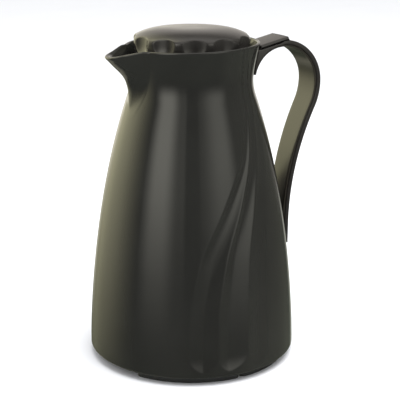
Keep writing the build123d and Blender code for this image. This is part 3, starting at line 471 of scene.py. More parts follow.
class ShellShape:
    """The shell's outer and inner surfaces as radius over angle and height, in metres."""

    def __init__(self, s):
        self.s = s
        self.knee_z = s.rim_z - s.knee_drop
        flank = bezier([(s.base_radius, s.belly_z), (s.base_radius, s.belly_z + s.belly_pull),
                        (s.knee_radius + s.knee_slope * s.shoulder_pull, self.knee_z - s.shoulder_pull),
                        (s.knee_radius, self.knee_z)], 400)
        neck = bezier([(s.knee_radius, self.knee_z),
                       (s.knee_radius - s.knee_slope * s.knee_pull, self.knee_z + s.knee_pull),
                       (s.rim_radius - s.rim_slope * s.rim_pull, s.rim_z - s.rim_pull),
                       (s.rim_radius, s.rim_z)], 200)
        above = (s.rim_radius + s.rim_slope * 20 * MM, s.rim_z + 20 * MM)
        line = np.vstack([[(s.base_radius, 0.0)], flank, neck[1:], [above]])
        self.radii, self.heights = line.T

    def round_radius(self, z):
        return np.interp(z, self.heights, self.radii)

    def spout_radius(self, off, z, inset=0.0, lift=0.0):
        """Distance from the axis to the spout's side, off radians from its middle."""
        drop = (self.s.rim_z - (z - lift)) / MM
        neck = self.round_radius(z - lift)
        nose = hermite(SPOUT_NOSE, drop) * MM - inset
        middle = neck + hermite(SPOUT_REACH, drop) * MM - inset - nose
        half = np.radians(hermite(SPOUT_ANGLE, drop)) - inset / neck
        side_x = neck * np.cos(half)
        side_y = neck * np.sin(half)
        span = np.hypot(side_x - middle, side_y)
        turn = np.arctan2(side_y, side_x - middle) - np.arccos(np.clip(nose / span, -1, 1))
        turn = np.clip(turn, 0, None)
        touch_x = middle + nose * np.cos(turn)
        touch_y = nose * np.sin(turn)
        off = np.abs(off)
        along_x = touch_x - side_x
        along_y = touch_y - side_y
        flat = (side_x * along_y - side_y * along_x) / (np.cos(off) * along_y - np.sin(off) * along_x)
        under = np.clip(nose ** 2 - (middle * np.sin(off)) ** 2, 0, None)
        tip = middle * np.cos(off) + np.sqrt(under)
        beyond = neck * (1 - SPOUT_SHRINK * np.clip(off - half, 0, None))
        flat = np.where(off > half, np.minimum(np.where(flat > 0, flat, 0), beyond), flat)
        return np.where(off < np.arctan2(touch_y, touch_x), tip, flat)

    def flute_depth(self, angles, z):
        """Depth of the wave flutes, mirrored on both sides of the handle."""
        off = np.abs(np.degrees(np.arctan2(np.sin(angles), np.cos(angles))))
        height = z / MM
        depth = np.zeros_like(z)
        fade = hermite(FLUTE_FADE, height)
        cap = np.clip((FLUTE_FOOT_Z + FLUTE_FOOT_LENGTH - height) / FLUTE_FOOT_LENGTH, 0, None)
        for upper, lower, share, valley in zip(FLUTE_RIDGES, FLUTE_RIDGES[1:], FLUTE_SHARE, FLUTE_VALLEY):
            start = hermite(upper, height)
            end = hermite(lower, height)
            across = (start - off) / (start - end)
            straight = np.where(across < valley, across / valley, (1 - across) / (1 - valley))
            scoop = 1 - (1 - straight) ** 2
            sharp = FLUTE_SHARP * smoothstep(*FLUTE_SHARP_SPAN, height)
            profile = sharp * straight + (1 - sharp) * scoop - cap ** 2
            inside = (across > 0) & (across < 1)
            depth = np.maximum(depth, np.where(inside, share * np.clip(profile, 0, None), 0))
        return depth * fade * self.s.flute_depth

    def outer(self, angles, z):
        """Outer radius: the round neck or the spout, whichever is further out, less the flutes."""
        round_part = self.round_radius(z) - self.flute_depth(angles, z)
        off = spout_off(angles)
        near = (np.abs(off) < math.radians(SPOUT_LIMIT)) & (z > self.s.rim_z - SPOUT_FOOT_DROP * MM)
        spout = np.where(near, self.spout_radius(np.where(near, off, 0), z), 0)
        return np.where(near, smooth_max(spout, round_part, self.s.crease), round_part)

    def lip_bead(self, angles, down):
        """How far the spout's lip stands out, at a distance down from the rim."""
        fade = smoothstep(BEAD_ANGLE, 0.5 * BEAD_ANGLE, np.abs(np.degrees(spout_off(angles))))
        return BEAD_PROUD * MM * fade * np.exp(-(down / MM / BEAD_DEPTH) ** 4)

    def inner(self, angles, z):
        """Inner radius: a wall's thickness in, with the spout's channel above its floor."""
        s = self.s
        thin = smoothstep(s.rim_z - 25 * MM, s.rim_z, z)
        round_part = self.round_radius(z) - s.wall + (s.wall - s.rim_wall) * thin
        off = spout_off(angles)
        floor = s.rim_z - CHANNEL_FLOOR_DROP * MM
        near = (np.abs(off) < math.radians(SPOUT_LIMIT)) & (z > floor)
        off = np.where(near, off, 0)
        channel = np.where(near, self.spout_radius(off, z, s.spout_wall, CHANNEL_LIFT * MM), 0)
        share = smoothstep(floor, floor + CHANNEL_START * MM, z)
        opened = round_part + (np.maximum(channel, round_part) - round_part) * share
        return np.where(near, smooth_max(opened, round_part, s.crease), round_part)

    def top(self, angles):
        """Height of the rim: tilted towards the handle, and falling along the spout to its lip."""
        s = self.s
        level = s.rim_z + s.rim_rise * np.cos(angles)
        reach = self.outer(angles, level - LIP_SIGHT_DROP * MM)
        fall = np.clip(reach * -np.cos(angles) - LIP_REACH * MM, 0, None)
        start = s.rim_z - s.rim_rise
        spout = start - s.spout_fall * smooth_max(fall, 0 * fall, LIP_SOFT * MM) + s.spout_fall * LIP_RAISE * MM
        return np.where(fall > 0, np.minimum(spout, level), level)


# the shell's mesh: degrees from the handle where its columns' spacing changes, and that spacing
HANDLE_COLUMNS = (-45.0, 45.0, 3.0)
FLUTE_COLUMNS = (45.0, 119.0, 0.85)
SPOUT_COLUMN_STEP = 0.7
SIDE_COLUMNS = 14            # columns between the flutes and the spout
FINE_TOP = 26.0              # up to this height its rows are closer together
FINE_STEP = 0.8
ROW_STEP = 1.5


def shell_columns():
    """Angles of the shell's mesh columns, closer together at the spout and the flutes."""
    spout = np.arange(-SPOUT_LIMIT, SPOUT_LIMIT, SPOUT_COLUMN_STEP) + 180
    flutes = np.arange(*FLUTE_COLUMNS)
    left = np.linspace(FLUTE_COLUMNS[1], 180 - SPOUT_LIMIT, SIDE_COLUMNS, endpoint=False)
    turns = (np.arange(*HANDLE_COLUMNS), flutes, left, spout, 360 - left[::-1], 360 - flutes[::-1])
    return np.radians(np.concatenate(turns))


def shell_rows(shape, angles):
    """Rows of (radius, height) arrays, from the lower edge up outside, over the rim and down inside."""
    s = shape.s
    ones = np.ones_like(angles)
    rows = [(s.base_radius - s.wall, s.edge_z), (s.base_radius - s.edge_round * 1.3, s.edge_z)]
    for turn in np.linspace(0, math.pi / 2, 7):
        rows.append((s.base_radius - s.edge_round * (1 - math.sin(turn)),
                     s.edge_z + s.edge_round * (1 - math.cos(turn))))
    start = s.edge_z + s.edge_round + FINE_STEP * MM
    fine = np.arange(start, FINE_TOP * MM, FINE_STEP * MM)
    coarse = np.arange(FINE_TOP * MM, shape.knee_z, ROW_STEP * MM)
    for z in np.concatenate([fine, coarse]):
        rows.append((shape.outer(angles, ones * z), z))
    top = shape.top(angles)
    lip = s.rim_wall * 0.5
    for share in np.linspace(0, 1, 46):
        z = shape.knee_z + (top - lip - shape.knee_z) * share ** 0.8
        rows.append((shape.outer(angles, z) + shape.lip_bead(angles, top - z), z))
    outside = rows[-1][0]
    inside = shape.inner(angles, top - lip)
    for turn in np.linspace(0, math.pi, 11)[1:-1]:
        share = 0.5 - 0.5 * math.cos(turn)
        rows.append((outside + (inside - outside) * share, top - lip + lip * math.sin(turn)))
    low = s.rim_z - CHANNEL_FLOOR_DROP * MM - 2 * MM
    for share in np.linspace(0, 1, 40):
        z = top - lip + (low - top + lip) * share
        rows.append((shape.inner(angles, z), z))
    for z in np.linspace(low, s.ledge_z + s.ledge_thick, 32)[1:]:
        rows.append((shape.inner(angles, ones * z), z))
    ledge = shape.inner(angles, ones * s.ledge_z) - s.ledge_depth
    rows += [(ledge, s.ledge_z + s.ledge_thick), (ledge, s.ledge_z)]
    for z in np.linspace(s.ledge_z, s.edge_z, 6)[:-1]:
        rows.append((shape.inner(angles, ones * z), z))
    return rows


def build_shell(s):
    angles = shell_columns()
    rows = shell_rows(ShellShape(s), angles)
    return new_object("jug_shell", turned(rows, angles), grid_faces(len(rows), len(angles), True), 50)


class JUG_OT_shell(bpy.types.Operator):
    """Build the body shell with its spout, rim and wave flutes"""
    bl_idname = "jug.shell"
    bl_label = "Body Shell"

    def execute(self, context):
        dress(build_shell(context.scene.jug_shell), "shell_plastic", "jug", "body_shell")
        return {"FINISHED"}


# ------------------------------------------------------------------ Geometry Nodes
MERGE_GAP = 5e-6             # copies' corners nearer than this become one


def new_tree(name, **sizes):
    """A node group for a modifier: geometry and material in, geometry out, and a number for each size."""
    tree = bpy.data.node_groups.new(name, "GeometryNodeTree")
    tree.interface.new_socket("Geometry", in_out="INPUT", socket_type="NodeSocketGeometry")
    tree.interface.new_socket("Geometry", in_out="OUTPUT", socket_type="NodeSocketGeometry")
    for size, kind in sizes.items():
        tree.interface.new_socket(size, in_out="INPUT", socket_type=kind)
    tree.interface.new_socket("Material", in_out="INPUT", socket_type="NodeSocketMaterial")
    return tree, node(tree, "NodeGroupInput"), node(tree, "NodeGroupOutput")


def finish_copies(tree, source, sink, turn=(0, 0, 0), place=(0, 0, 0)):
    """Copies of the geometry at the given rotations or positions, made one mesh of one material."""
    points = node(tree, "GeometryNodePoints", {"Count": source.outputs["Count"], "Position": place})
    copies = node(tree, "GeometryNodeInstanceOnPoints",
                  {"Points": points.outputs[0], "Instance": source.outputs["Geometry"], "Rotation": turn})
    solid = node(tree, "GeometryNodeRealizeInstances", {0: copies.outputs[0]})
    merge = node(tree, "GeometryNodeMergeByDistance", {"Geometry": solid.outputs[0], "Distance": MERGE_GAP})
    paint = node(tree, "GeometryNodeSetMaterial",
                 {"Geometry": merge.outputs[0], "Material": source.outputs["Material"]})
    feed(tree, sink.inputs["Geometry"], paint.outputs[0])


def round_tree():
    """Copies turned evenly about the axis."""
    tree, source, sink = new_tree("turned_copies", Count="NodeSocketInt", Turn="NodeSocketFloat")
    index = node(tree, "GeometryNodeInputIndex").outputs[0]
    step = math_node(tree, "DIVIDE", math.tau, source.outputs["Count"])
    about = math_node(tree, "ADD", math_node(tree, "MULTIPLY", index, step), source.outputs["Turn"])
    turn = node(tree, "ShaderNodeCombineXYZ", {"Z": about})
    finish_copies(tree, source, sink, turn=turn.outputs[0])
    return tree


def paired_tree():
    """Four copies turned about the axis: near and far from the handle, on both sides."""
    tree, source, sink = new_tree("paired_copies", Count="NodeSocketInt", Near="NodeSocketFloat",
                                  Far="NodeSocketFloat")
    index = node(tree, "GeometryNodeInputIndex").outputs[0]
    odd = math_node(tree, "MODULO", index, 2.0)
    spread = math_node(tree, "SUBTRACT", source.outputs["Far"], source.outputs["Near"])
    size = math_node(tree, "ADD", source.outputs["Near"], math_node(tree, "MULTIPLY", odd, spread))
    mirrored = math_node(tree, "MULTIPLY", 2.0, math_node(tree, "GREATER_THAN", index, 1.5))
    side = math_node(tree, "SUBTRACT", 1.0, mirrored)
    turn = node(tree, "ShaderNodeCombineXYZ", {"Z": math_node(tree, "MULTIPLY", size, side)})
    finish_copies(tree, source, sink, turn=turn.outputs[0])
    return tree


def row_tree():
    """Copies side by side along Y, centred."""
    tree, source, sink = new_tree("row_copies", Count="NodeSocketInt", Spacing="NodeSocketFloat")
    index = node(tree, "GeometryNodeInputIndex").outputs[0]
    middle = math_node(tree, "DIVIDE", math_node(tree, "SUBTRACT", source.outputs["Count"], 1.0), 2.0)
    place = math_node(tree, "MULTIPLY", math_node(tree, "SUBTRACT", index, middle), source.outputs["Spacing"])
    along = node(tree, "ShaderNodeCombineXYZ", {"Y": place})
    finish_copies(tree, source, sink, place=along.outputs[0])
    return tree


def repeat(made, tree, material, **sizes):
    """Runs a node group on a piece and keeps the result as its mesh."""
    modifier = made.modifiers.new("copies", "NODES")
    modifier.node_group = tree
    values = dict(sizes, Material=material)
    for socket in tree.interface.items_tree:
        if socket.in_out == "INPUT" and socket.name in values:
            modifier[socket.identifier] = values[socket.name]
    return apply_modifiers(made)


# ------------------------------------------------------------------ handle
def arc(centre, radius, start, sweep, count):
    """Points on an arc, angles in degrees from +X towards +Z."""
    turn = np.radians(np.linspace(start, start + sweep, count))
    return np.column_stack([centre[0] + radius * np.cos(turn), centre[1] + radius * np.sin(turn)])


def strap_line(h, inset):
    """The strap's line from the top of the loop down to its tail, inset from the outer face."""
    rim = bpy.context.scene.jug_shell.rim_z
    centre_z = rim - h.reach_drop
    loop_x = h.reach - h.loop_radius
    back_x = h.reach - h.back_radius
    across = h.tail_x - back_x
    down = centre_z - h.tail_blend_z
    lower = (across ** 2 + down ** 2 - h.back_radius ** 2) / (2 * (h.back_radius - across))
    swing = math.degrees(math.atan2(down, h.tail_x + lower - back_x))
    top = arc((loop_x, centre_z), h.loop_radius - inset, 90, -90, 40)
    back = arc((back_x, centre_z), h.back_radius - inset, 0, -swing, 16)
    low = arc((h.tail_x + lower, h.tail_blend_z), lower + inset, 180 - swing, swing, 40)
    tail = np.column_stack([np.full(6, h.tail_x - inset), np.linspace(h.tail_blend_z, h.tail_z, 6)])
    return np.vstack([top, back[1:], low[1:], tail[1:]])


def bridge_z(x):
    """Height of the thumb pad's top above the origin."""
    s = bpy.context.scene.jug_shell
    h = bpy.context.scene.jug_handle
    rise = (h.bridge_lift + h.bridge_start_drop) / h.bridge_length
    return s.rim_z - h.bridge_start_drop + rise * (x - s.rim_radius)


def root_line(h):
    """From the loop's inner top round the inside corner, down to the foot and up the neck to the bridge."""
    s = bpy.context.scene.jug_shell
    shape = ShellShape(s)
    centre_x = h.reach - h.loop_radius
    inner_top = s.rim_z - h.reach_drop + h.loop_radius - h.strap - h.strip
    foot_z = s.rim_z - h.root_drop
    radius = centre_x - float(shape.round_radius(foot_z)) - h.gap - h.root_foot
    corner = arc((centre_x, inner_top - radius), radius, 90, math.degrees(h.root_sweep), 36)
    start_z = float(bridge_z(s.rim_radius)) - h.pad
    heights = np.linspace(corner[-1][1], start_z, 16)
    against = np.column_stack([shape.round_radius(heights) + h.gap, heights])
    over_x = np.linspace(against[-1][0], centre_x, 14)[1:]
    over = np.column_stack([over_x, bridge_z(over_x) - h.pad])
    return corner, against, over


def strap_outline(h):
    """The strap's outer half with the bridge and the root, as one closed outline."""
    corner, against, over = root_line(h)
    outer = strap_line(h, 0.0)
    inner = strap_line(h, h.strap)
    step = np.array([[inner[0][0], corner[0][1]]])
    return np.vstack([over[:-1], outer, inner[::-1], step, corner[1:], against[:-1]])


def spaced(points, gap):
    """The same closed outline with points no further apart than gap."""
    closed = np.vstack([points, points[:1]])
    out = []
    for a, b in zip(closed[:-1], closed[1:]):
        count = max(1, int(np.ceil(np.linalg.norm(b - a) / gap)))
        for k in range(count):
            out.append(a + (b - a) * k / count)
    return np.array(out)


def outward(points):
    """Outward directions of a closed outline drawn either way round."""
    ahead = np.roll(points, -1, axis=0) - points
    behind = points - np.roll(points, 1, axis=0)
    ahead /= np.maximum(np.linalg.norm(ahead, axis=1, keepdims=True), 1e-9)
    behind /= np.maximum(np.linalg.norm(behind, axis=1, keepdims=True), 1e-9)
    along = ahead + behind
    along /= np.maximum(np.linalg.norm(along, axis=1, keepdims=True), 1e-9)
    area = np.sum(points[:, 0] * np.roll(points[:, 1], -1) - np.roll(points[:, 0], -1) * points[:, 1])
    return np.column_stack([along[:, 1], -along[:, 0]]) * (1 if area > 0 else -1)


def slab(name, points, width, edge, crown=0.0, gap=1.6 * MM):
    """An outline given a width across Y, its edges rounded and its faces crowned.
    The width is a number or a function of a point's place."""
    outline = spaced(points, gap)
    normal = outward(outline)
    half = (width(outline) if callable(width) else np.full(len(outline), width)) / 2
    corner = [(edge * (1 - math.sin(turn)), edge * (1 - math.cos(turn)))
              for turn in np.linspace(0, math.pi / 2, 6)]
    rows = [(-1, inset, back, 1.0) for inset, back in corner]
    rows += [(share, 0.0, 0.0, abs(share)) for share in np.linspace(-0.8, 0.8, 7)]
    rows += [(1, inset, back, 1.0) for inset, back in corner[::-1]]
    vertices = []
    for share, inset, back, out in rows:
        across = share * (half - back) if abs(share) == 1 else share * (half - edge)
        flat = outline - normal * (inset + crown * out ** 2)
        vertices.extend(zip(flat[:, 0], across, flat[:, 1]))
    return new_object(name, vertices, capped_faces(len(rows), len(outline)))


# the strap's width over the millimetres below the rim, as a share of its full width
STRAP_NARROWING = ((-5, 1.0), (10, 1.0), (35, 1.0), (80, 0.96), (120, 0.92), (155, 0.9))
STRIP_EDGE = 0.4             # rounding of the strip's edges, as a share of its thickness
PIECE_GAP = 0.02             # the strip and the pad clear the strap by this much
PAD_START = 0.3              # the pad starts this far out of the rim's clearance
PAD_CROWN = 0.15             # its top falls this much towards its sides


def strap_width(points):
    """The strap is widest where it leaves the bridge and narrows a little down the back."""
    h = bpy.context.scene.jug_handle
    top = bpy.context.scene.jug_shell.rim_z
    return h.width * hermite(STRAP_NARROWING, (top - points[:, 1]) / MM)


class JUG_OT_handle(bpy.types.Operator):
    """Build the handle: strap, inner strip and thumb pad"""
    bl_idname = "jug.handle"
    bl_label = "Handle"

    def execute(self, context):
        h = context.scene.jug_handle
        s = context.scene.jug_shell
        strap = slab("jug_handle_strap", strap_outline(h), strap_width, h.edge)
        dress(strap, "handle_plastic", "jug", "handle_strap")
        inner = np.vstack([strap_line(h, h.strap + PIECE_GAP * MM), strap_line(h, h.strap + h.strip)[::-1]])
        strip = slab("jug_handle_strip", inner, lambda p: strap_width(p) - 2 * h.margin, h.strip * STRIP_EDGE)
        dress(strip, "strip_plastic", "jug", "handle_inner_strip")
        xs = np.linspace(s.rim_radius + h.gap + PAD_START * MM, s.rim_radius + h.bridge_length, 12)
        crown = np.column_stack([xs, bridge_z(xs)])
        low = np.column_stack([xs, bridge_z(xs) - h.pad + PIECE_GAP * MM])[::-1]
        low[0][0] += h.pad_toe
        pad = slab("jug_thumb_pad", np.vstack([crown, low]), h.width, h.pad_round, PAD_CROWN * MM)
        dress(pad, "handle_plastic", "jug", "handle_thumb_pad")
        return {"FINISHED"}


# ------------------------------------------------------------------ lid
CROWN_POWER = 3.8            # how flat the crown's middle is: 2 is a plain bowl
SCOOP_LEFT = 0.75            # share of a dimple's depth that it has lost at its lower end
SCOOP_POWER = 5              # and how late it loses it
DIMPLE_START = 1.4           # a dimple this deep has the rounding of a dimple's edge, not of a ridge's


class LidShape:
    """The knob's surface over the angle from the middle of a dimple."""

    def __init__(self, lid, rim_z):
        self.lid = lid
        self.edge_z = rim_z + lid.ridge_lift
        self.bottom_z = rim_z - lid.skirt_drop
        self.crown_z = self.edge_z + lid.crown

    def dome_z(self, radius):
        """Height of the crown's surface."""
        start = self.lid.ridge_radius - self.lid.edge_round
        return self.edge_z + self.lid.crown * (1 - np.clip(radius / start, 0, 2) ** CROWN_POWER)

    def side_radius(self, off, z):
        """Radius of the side: the leaning skirt, scooped out round each dimple's middle."""
        lid = self.lid
        rise = (z - self.bottom_z) / (self.edge_z - lid.edge_round - self.bottom_z)
        skirt = lid.skirt_radius + (lid.ridge_radius - lid.skirt_radius) * np.clip(rise, 0, 1.05)
        down = np.clip((self.edge_z - z) / lid.dimple_length, 0, None)
        depth = lid.dimple_depth * (1 - SCOOP_LEFT * down ** SCOOP_POWER)
        centre = lid.ridge_radius + lid.dimple_radius - depth
        root = lid.dimple_radius ** 2 - (centre * np.sin(off)) ** 2
        scoop = np.where(root > 0, centre * np.cos(off) - np.sqrt(np.clip(root, 0, None)), 1.0)
        return -smooth_max(-skirt, -scoop, lid.dimple_soft)

    def edge(self, off):
        """Where the side meets the crown."""
        radius = np.full_like(off, self.lid.ridge_radius)
        for _ in range(12):
            radius = self.side_radius(off, self.dome_z(radius))
        return radius


def lid_sector(lid, rim_z):
    """The knob over one dimple, from the crown out, down the side and up inside."""
    shape = LidShape(lid, rim_z)
    half = math.pi / lid.dimples
    off = np.linspace(-half, half, 25)
    edge = shape.edge(off)
    cut = smoothstep(0.0, DIMPLE_START * MM, lid.ridge_radius - edge)
    soft = lid.edge_round * (1 - cut) + lid.dimple_edge * cut
    rows = [(AXIS, shape.crown_z)]
    for share in np.linspace(0, 1, 22)[1:]:
        radius = (edge - soft) * share
        rows.append((radius, shape.dome_z(radius)))
    start = (edge - soft, shape.dome_z(edge - soft))
    corner = (edge, shape.dome_z(edge))
    low = corner[1] - soft
    end = (shape.side_radius(off, low), low)
    for t in np.linspace(0, 1, 8)[1:]:
        rows.append([(1 - t) ** 2 * a + 2 * t * (1 - t) * b + t * t * c
                     for a, b, c in zip(start, corner, end)])
    for share in np.linspace(0, 1, 34)[1:]:
        z = low + (shape.bottom_z + lid.foot_round - low) * share
        rows.append((shape.side_radius(off, z), z))
    radius = shape.side_radius(off, shape.bottom_z + lid.foot_round)
    for turn in np.linspace(0, math.pi / 2, 5)[1:]:
        rows.append((radius - lid.foot_round * (1 - math.cos(turn)),
                     shape.bottom_z + lid.foot_round * (1 - math.sin(turn))))
    inner = lid.skirt_radius - lid.wall
    ceiling = shape.edge_z - lid.wall
    rows += [(inner, shape.bottom_z), (inner, ceiling), (inner * 0.5, ceiling), (AXIS, ceiling)]
    count = len(off)
    faces = []
    for i in range(len(rows) - 1):
        for j in range(count - 1):
            a = i * count + j
            faces.append((a, a + count, a + count + 1, a + 1))
    return turned(rows, off), faces


class JUG_OT_lid(bpy.types.Operator):
    """Build the dimpled knob of the lid"""
    bl_idname = "jug.lid"
    bl_label = "Lid Knob"

    def execute(self, context):
        lid = context.scene.jug_lid
        knob = new_object("jug_lid_knob", *lid_sector(lid, context.scene.jug_shell.rim_z))
        repeat(knob, round_tree(), finish("lid_plastic"), Count=lid.dimples, Turn=lid.dimple_turn)
        tidy_normals(knob, 38)
        dress(knob, "lid_plastic", "lid", "lid_cap")
        return {"FINISHED"}


# ------------------------------------------------------------------ feet and screws
# shares of a screw's head: the height of its rim, how high a cross is cut, its arms' width, reach and depth
HEAD_RIM = 0.35
CROSS_ABOVE = 0.3
CROSS_ARM = 0.17
CROSS_REACH = 0.62
CROSS_DEPTH = 0.5
HEAD_SUNK = 0.4              # how much of its height lies outside the piece it holds

THREAD_PITCH = 0.9           # millimetres
THREAD_START = 1.2           # millimetres below the head
THREAD_ROOT = 0.78           # shares of the shank's radius: at the thread's root and at the point
POINT_SHARE = 0.6


def lathe(name, profile, count=48):
    """A closed shape turned about Z from (radius, height) points that start and end on the axis."""
    turn = np.linspace(0, 2 * math.pi, count, endpoint=False)
    rows = [(max(r, AXIS), z) for r, z in profile]
    return new_object(name, turned(rows, turn), grid_faces(len(rows), count), 35)


def foot_block(inner, outer, height, arc_angle, edge):
    """One soft foot: an arc of rounded section with rounded ends, centred on +X."""
    middle = (inner + outer) / 2
    half = (outer - inner) / 2
    section = [(half, height), (-half, height)]
    for side, start in ((-1, 180), (1, -90)):
        for turn in np.radians(np.linspace(start, start + 90, 6)):
            section.append((side * (half - edge) + edge * math.cos(turn), edge + edge * math.sin(turn)))
    section = np.array(section)
    rows = []
    limit = arc_angle / 2
    round_off = half / middle
    stations = [(-limit + round_off * (1 - math.cos(turn)), math.sin(turn))
                for turn in np.linspace(0.05, math.pi / 2, 8)]
    stations += [(turn, 1.0) for turn in np.linspace(-limit + round_off, limit - round_off, 40)[1:-1]]
    stations += [(-turn, share) for turn, share in stations[7::-1]]
    for turn, share in stations:
        radius = middle + section[:, 0] * share
        rows.append(np.column_stack([radius * math.cos(turn), radius * math.sin(turn), section[:, 1]]))
    return np.vstack(rows), capped_faces(len(rows), len(section))


class JUG_OT_feet(bpy.types.Operator):
    """Build the four soft feet under the base cap"""
    bl_idname = "jug.feet"
    bl_label = "Feet"

    def execute(self, context):
        b = context.scene.jug_base
        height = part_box("base_feet")[1].z
        block = foot_block(b.foot_radius - b.foot_depth, b.foot_radius, height, b.foot_arc, b.foot_edge)
        foot = new_object("jug_feet", *block)
        repeat(foot, paired_tree(), finish("black_rubber"), Count=4, Near=b.foot_near, Far=b.foot_far)
        tidy_normals(foot, 40)
        dress(foot, "black_rubber", "jug", "base_feet")
        return {"FINISHED"}


def screw_profile(head_radius, head_height, shank_radius, shank_length):
    """A pan head above z = 0 and a threaded shank below it."""
    points = [(0, head_height)]
    for turn in np.linspace(0, math.pi / 2, 7)[1:]:
        rise = HEAD_RIM + (1 - HEAD_RIM) * math.cos(turn)
        points.append((head_radius * math.sin(turn), head_height * rise))
    points += [(head_radius, 0), (shank_radius, 0)]
    pitch = THREAD_PITCH * MM
    depth = -THREAD_START * MM
    while depth > -shank_length + pitch:
        points += [(shank_radius, depth), (shank_radius * THREAD_ROOT, depth - pitch * 0.5)]
        depth -= pitch
    return points + [(shank_radius * POINT_SHARE, -shank_length), (0, -shank_length)]


def cross_recess(made, head_radius, head_height):
    """Presses a cross into the middle of a screw's head."""
    limit = head_radius * CROSS_REACH
    for vertex in made.data.vertices:
        x, y, z = vertex.co
        arm, reach = sorted((abs(x), abs(y)))
        if z > head_height * CROSS_ABOVE and arm < head_radius * CROSS_ARM and reach < limit:
            vertex.co.z -= head_height * CROSS_DEPTH * (1 - reach / limit) ** 0.5


class JUG_OT_screws(bpy.types.Operator):
    """Build the screws of the handle and of the lid"""
    bl_idname = "jug.screws"
    bl_label = "Screws"

    def execute(self, context):
        b = context.scene.jug_base
        for name, source, count in (("jug_handle_screws", "handle_root_screws", 2),
                                    ("jug_tail_screw", "handle_tail_screw", 1)):
            low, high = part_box(source)
            screw = self.screw(name, b, high.x - low.x - b.screw_head_height)
            place = (low.x + b.screw_head_height * HEAD_SUNK, 0, (low.z + high.z) / 2)
            screw.data.transform(Matrix.Translation(place) @ Matrix.Rotation(math.radians(-90), 4, "Y"))
            spacing = (high.y - low.y) - 2 * b.screw_head_radius
            self.place(screw, row_tree(), "jug", source, Count=count, Spacing=spacing)
        low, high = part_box("lid_screws")
        screw = self.screw("jug_lid_screws", b, high.z - low.z - b.screw_head_height)
        place = (b.boss_place, 0, low.z + b.screw_head_height)
        screw.data.transform(Matrix.Translation(place) @ Matrix.Rotation(math.pi, 4, "X"))
        turn = context.scene.jug_lid.dimple_turn
        self.place(screw, round_tree(), "lid", "lid_screws", Count=3, Turn=turn)
        return {"FINISHED"}

    def place(self, screw, tree, body, source, **sizes):
        """Repeats a screw and gives the copies their body and the node they stand for."""
        repeat(screw, tree, finish("steel"), **sizes)
        tidy_normals(screw, 35)
        dress(screw, "steel", body, source)

    def screw(self, name, b, shank):
        made = lathe(name, screw_profile(b.screw_head_radius, b.screw_head_height, b.screw_radius, shank))
        cross_recess(made, b.screw_head_radius, b.screw_head_height)
        return made


# ------------------------------------------------------------------ stage
CAMERA_PLACE = (-0.3340, -0.7003, 0.3286)
CAMERA_PITCH = 15.52
CAMERA_HEADING = 25.5
CAMERA_LENS = 99.46
CAMERA_SHIFT = 0.0211
PALE = (0.985, 0.985, 0.98)
FLOOR_REACH = 6.0            # metres from the middle to each side
FLOOR_TONES = ((0.89, 0.90, 0.93), (0.92, 0.93, 0.96))
FLOOR_GRAIN = 8.0            # cells of its mottle per metre
LAMP_PLACE = (0.2, -0.3, 1.6)
LAMP_SIZE = 1.6
LAMP_POWER = 28.0
LAMP_AIM = (0, 0, 0.1)

# soft boxes and cards round the object, each with: its azimuth from the camera's side, half its width, how
# softly it fades to the left and to the right, its lowest and highest full elevation and the fades below and
# above, all in degrees, then its colour and strength
PANELS = (
    ("right_box", 47, 3, 33, 20, 16, 36, 36, 12, (1.0, 0.99, 0.88), 1.1),
    ("right_box_edge", 33, 20, 3, 16, 16, 36, 36, 12, (1.0, 0.99, 0.88), 0.2),
    ("left_box", -43, 5, 19, 21, 16, 36, 36, 12, (1.0, 0.98, 0.87), 2.0),
    ("left_box_edge", -35, 24, 10, 3, 16, 36, 36, 12, (1.0, 0.98, 0.87), 0.42),
    ("left_card", -122, 10, 45, 50, 10, 60, 44, 20, (1.0, 0.95, 0.62), 2.1),
    ("left_table", -138, 10, 10, 12, -80, -32, 8, 8, (1.0, 0.93, 0.72), 0.55),
    ("left_line", -168, 10, 8, 8, -16, 4, 6, 14, (1.0, 0.97, 0.80), 0.45),
    ("right_card", 105, 30, 25, 25, -30, 60, 20, 20, (1.0, 1.0, 0.8), 0.12),
    ("back_wall", 180, 22, 20, 20, -4, 18, 10, 30, (1.0, 0.93, 0.86), 0.62),
    ("right_line", 164, 7, 5, 8, -40, 0, 10, 10, (1.0, 1.0, 0.88), 0.45),
    ("ceiling", 0, 180, 1, 1, 62, 91, 24, 1, (1.0, 0.97, 0.92), 0.75),
    ("table", 0, 180, 1, 1, -91, -30, 1, 25, (0.85, 1.0, 0.7), 0.1),
)


def band(tree, value, low, high, low_soft, high_soft):
    """One between low and high, falling softly to zero outside them."""
    rise = map_range(tree, value, low - low_soft, low, 0.0, 1.0, "SMOOTHSTEP")
    fall = map_range(tree, value, high, high + high_soft, 1.0, 0.0, "SMOOTHSTEP")
    return math_node(tree, "MULTIPLY", rise, fall)


def turned_azimuth(tree, x, y, centre):
    """Angle of a direction about the vertical, counted from centre degrees right of the camera."""
    level = node(tree, "ShaderNodeCombineXYZ", {"X": x, "Y": y}).outputs[0]
    angle_in = math.radians(90 + CAMERA_HEADING - centre)
    turn = node(tree, "ShaderNodeVectorRotate", {"Vector": level, "Angle": angle_in}, rotation_type="Z_AXIS")
    split = node(tree, "ShaderNodeSeparateXYZ", {0: turn.outputs[0]})
    return math_node(tree, "DEGREES", math_node(tree, "ARCTAN2", split.outputs["Y"], split.outputs["X"]))


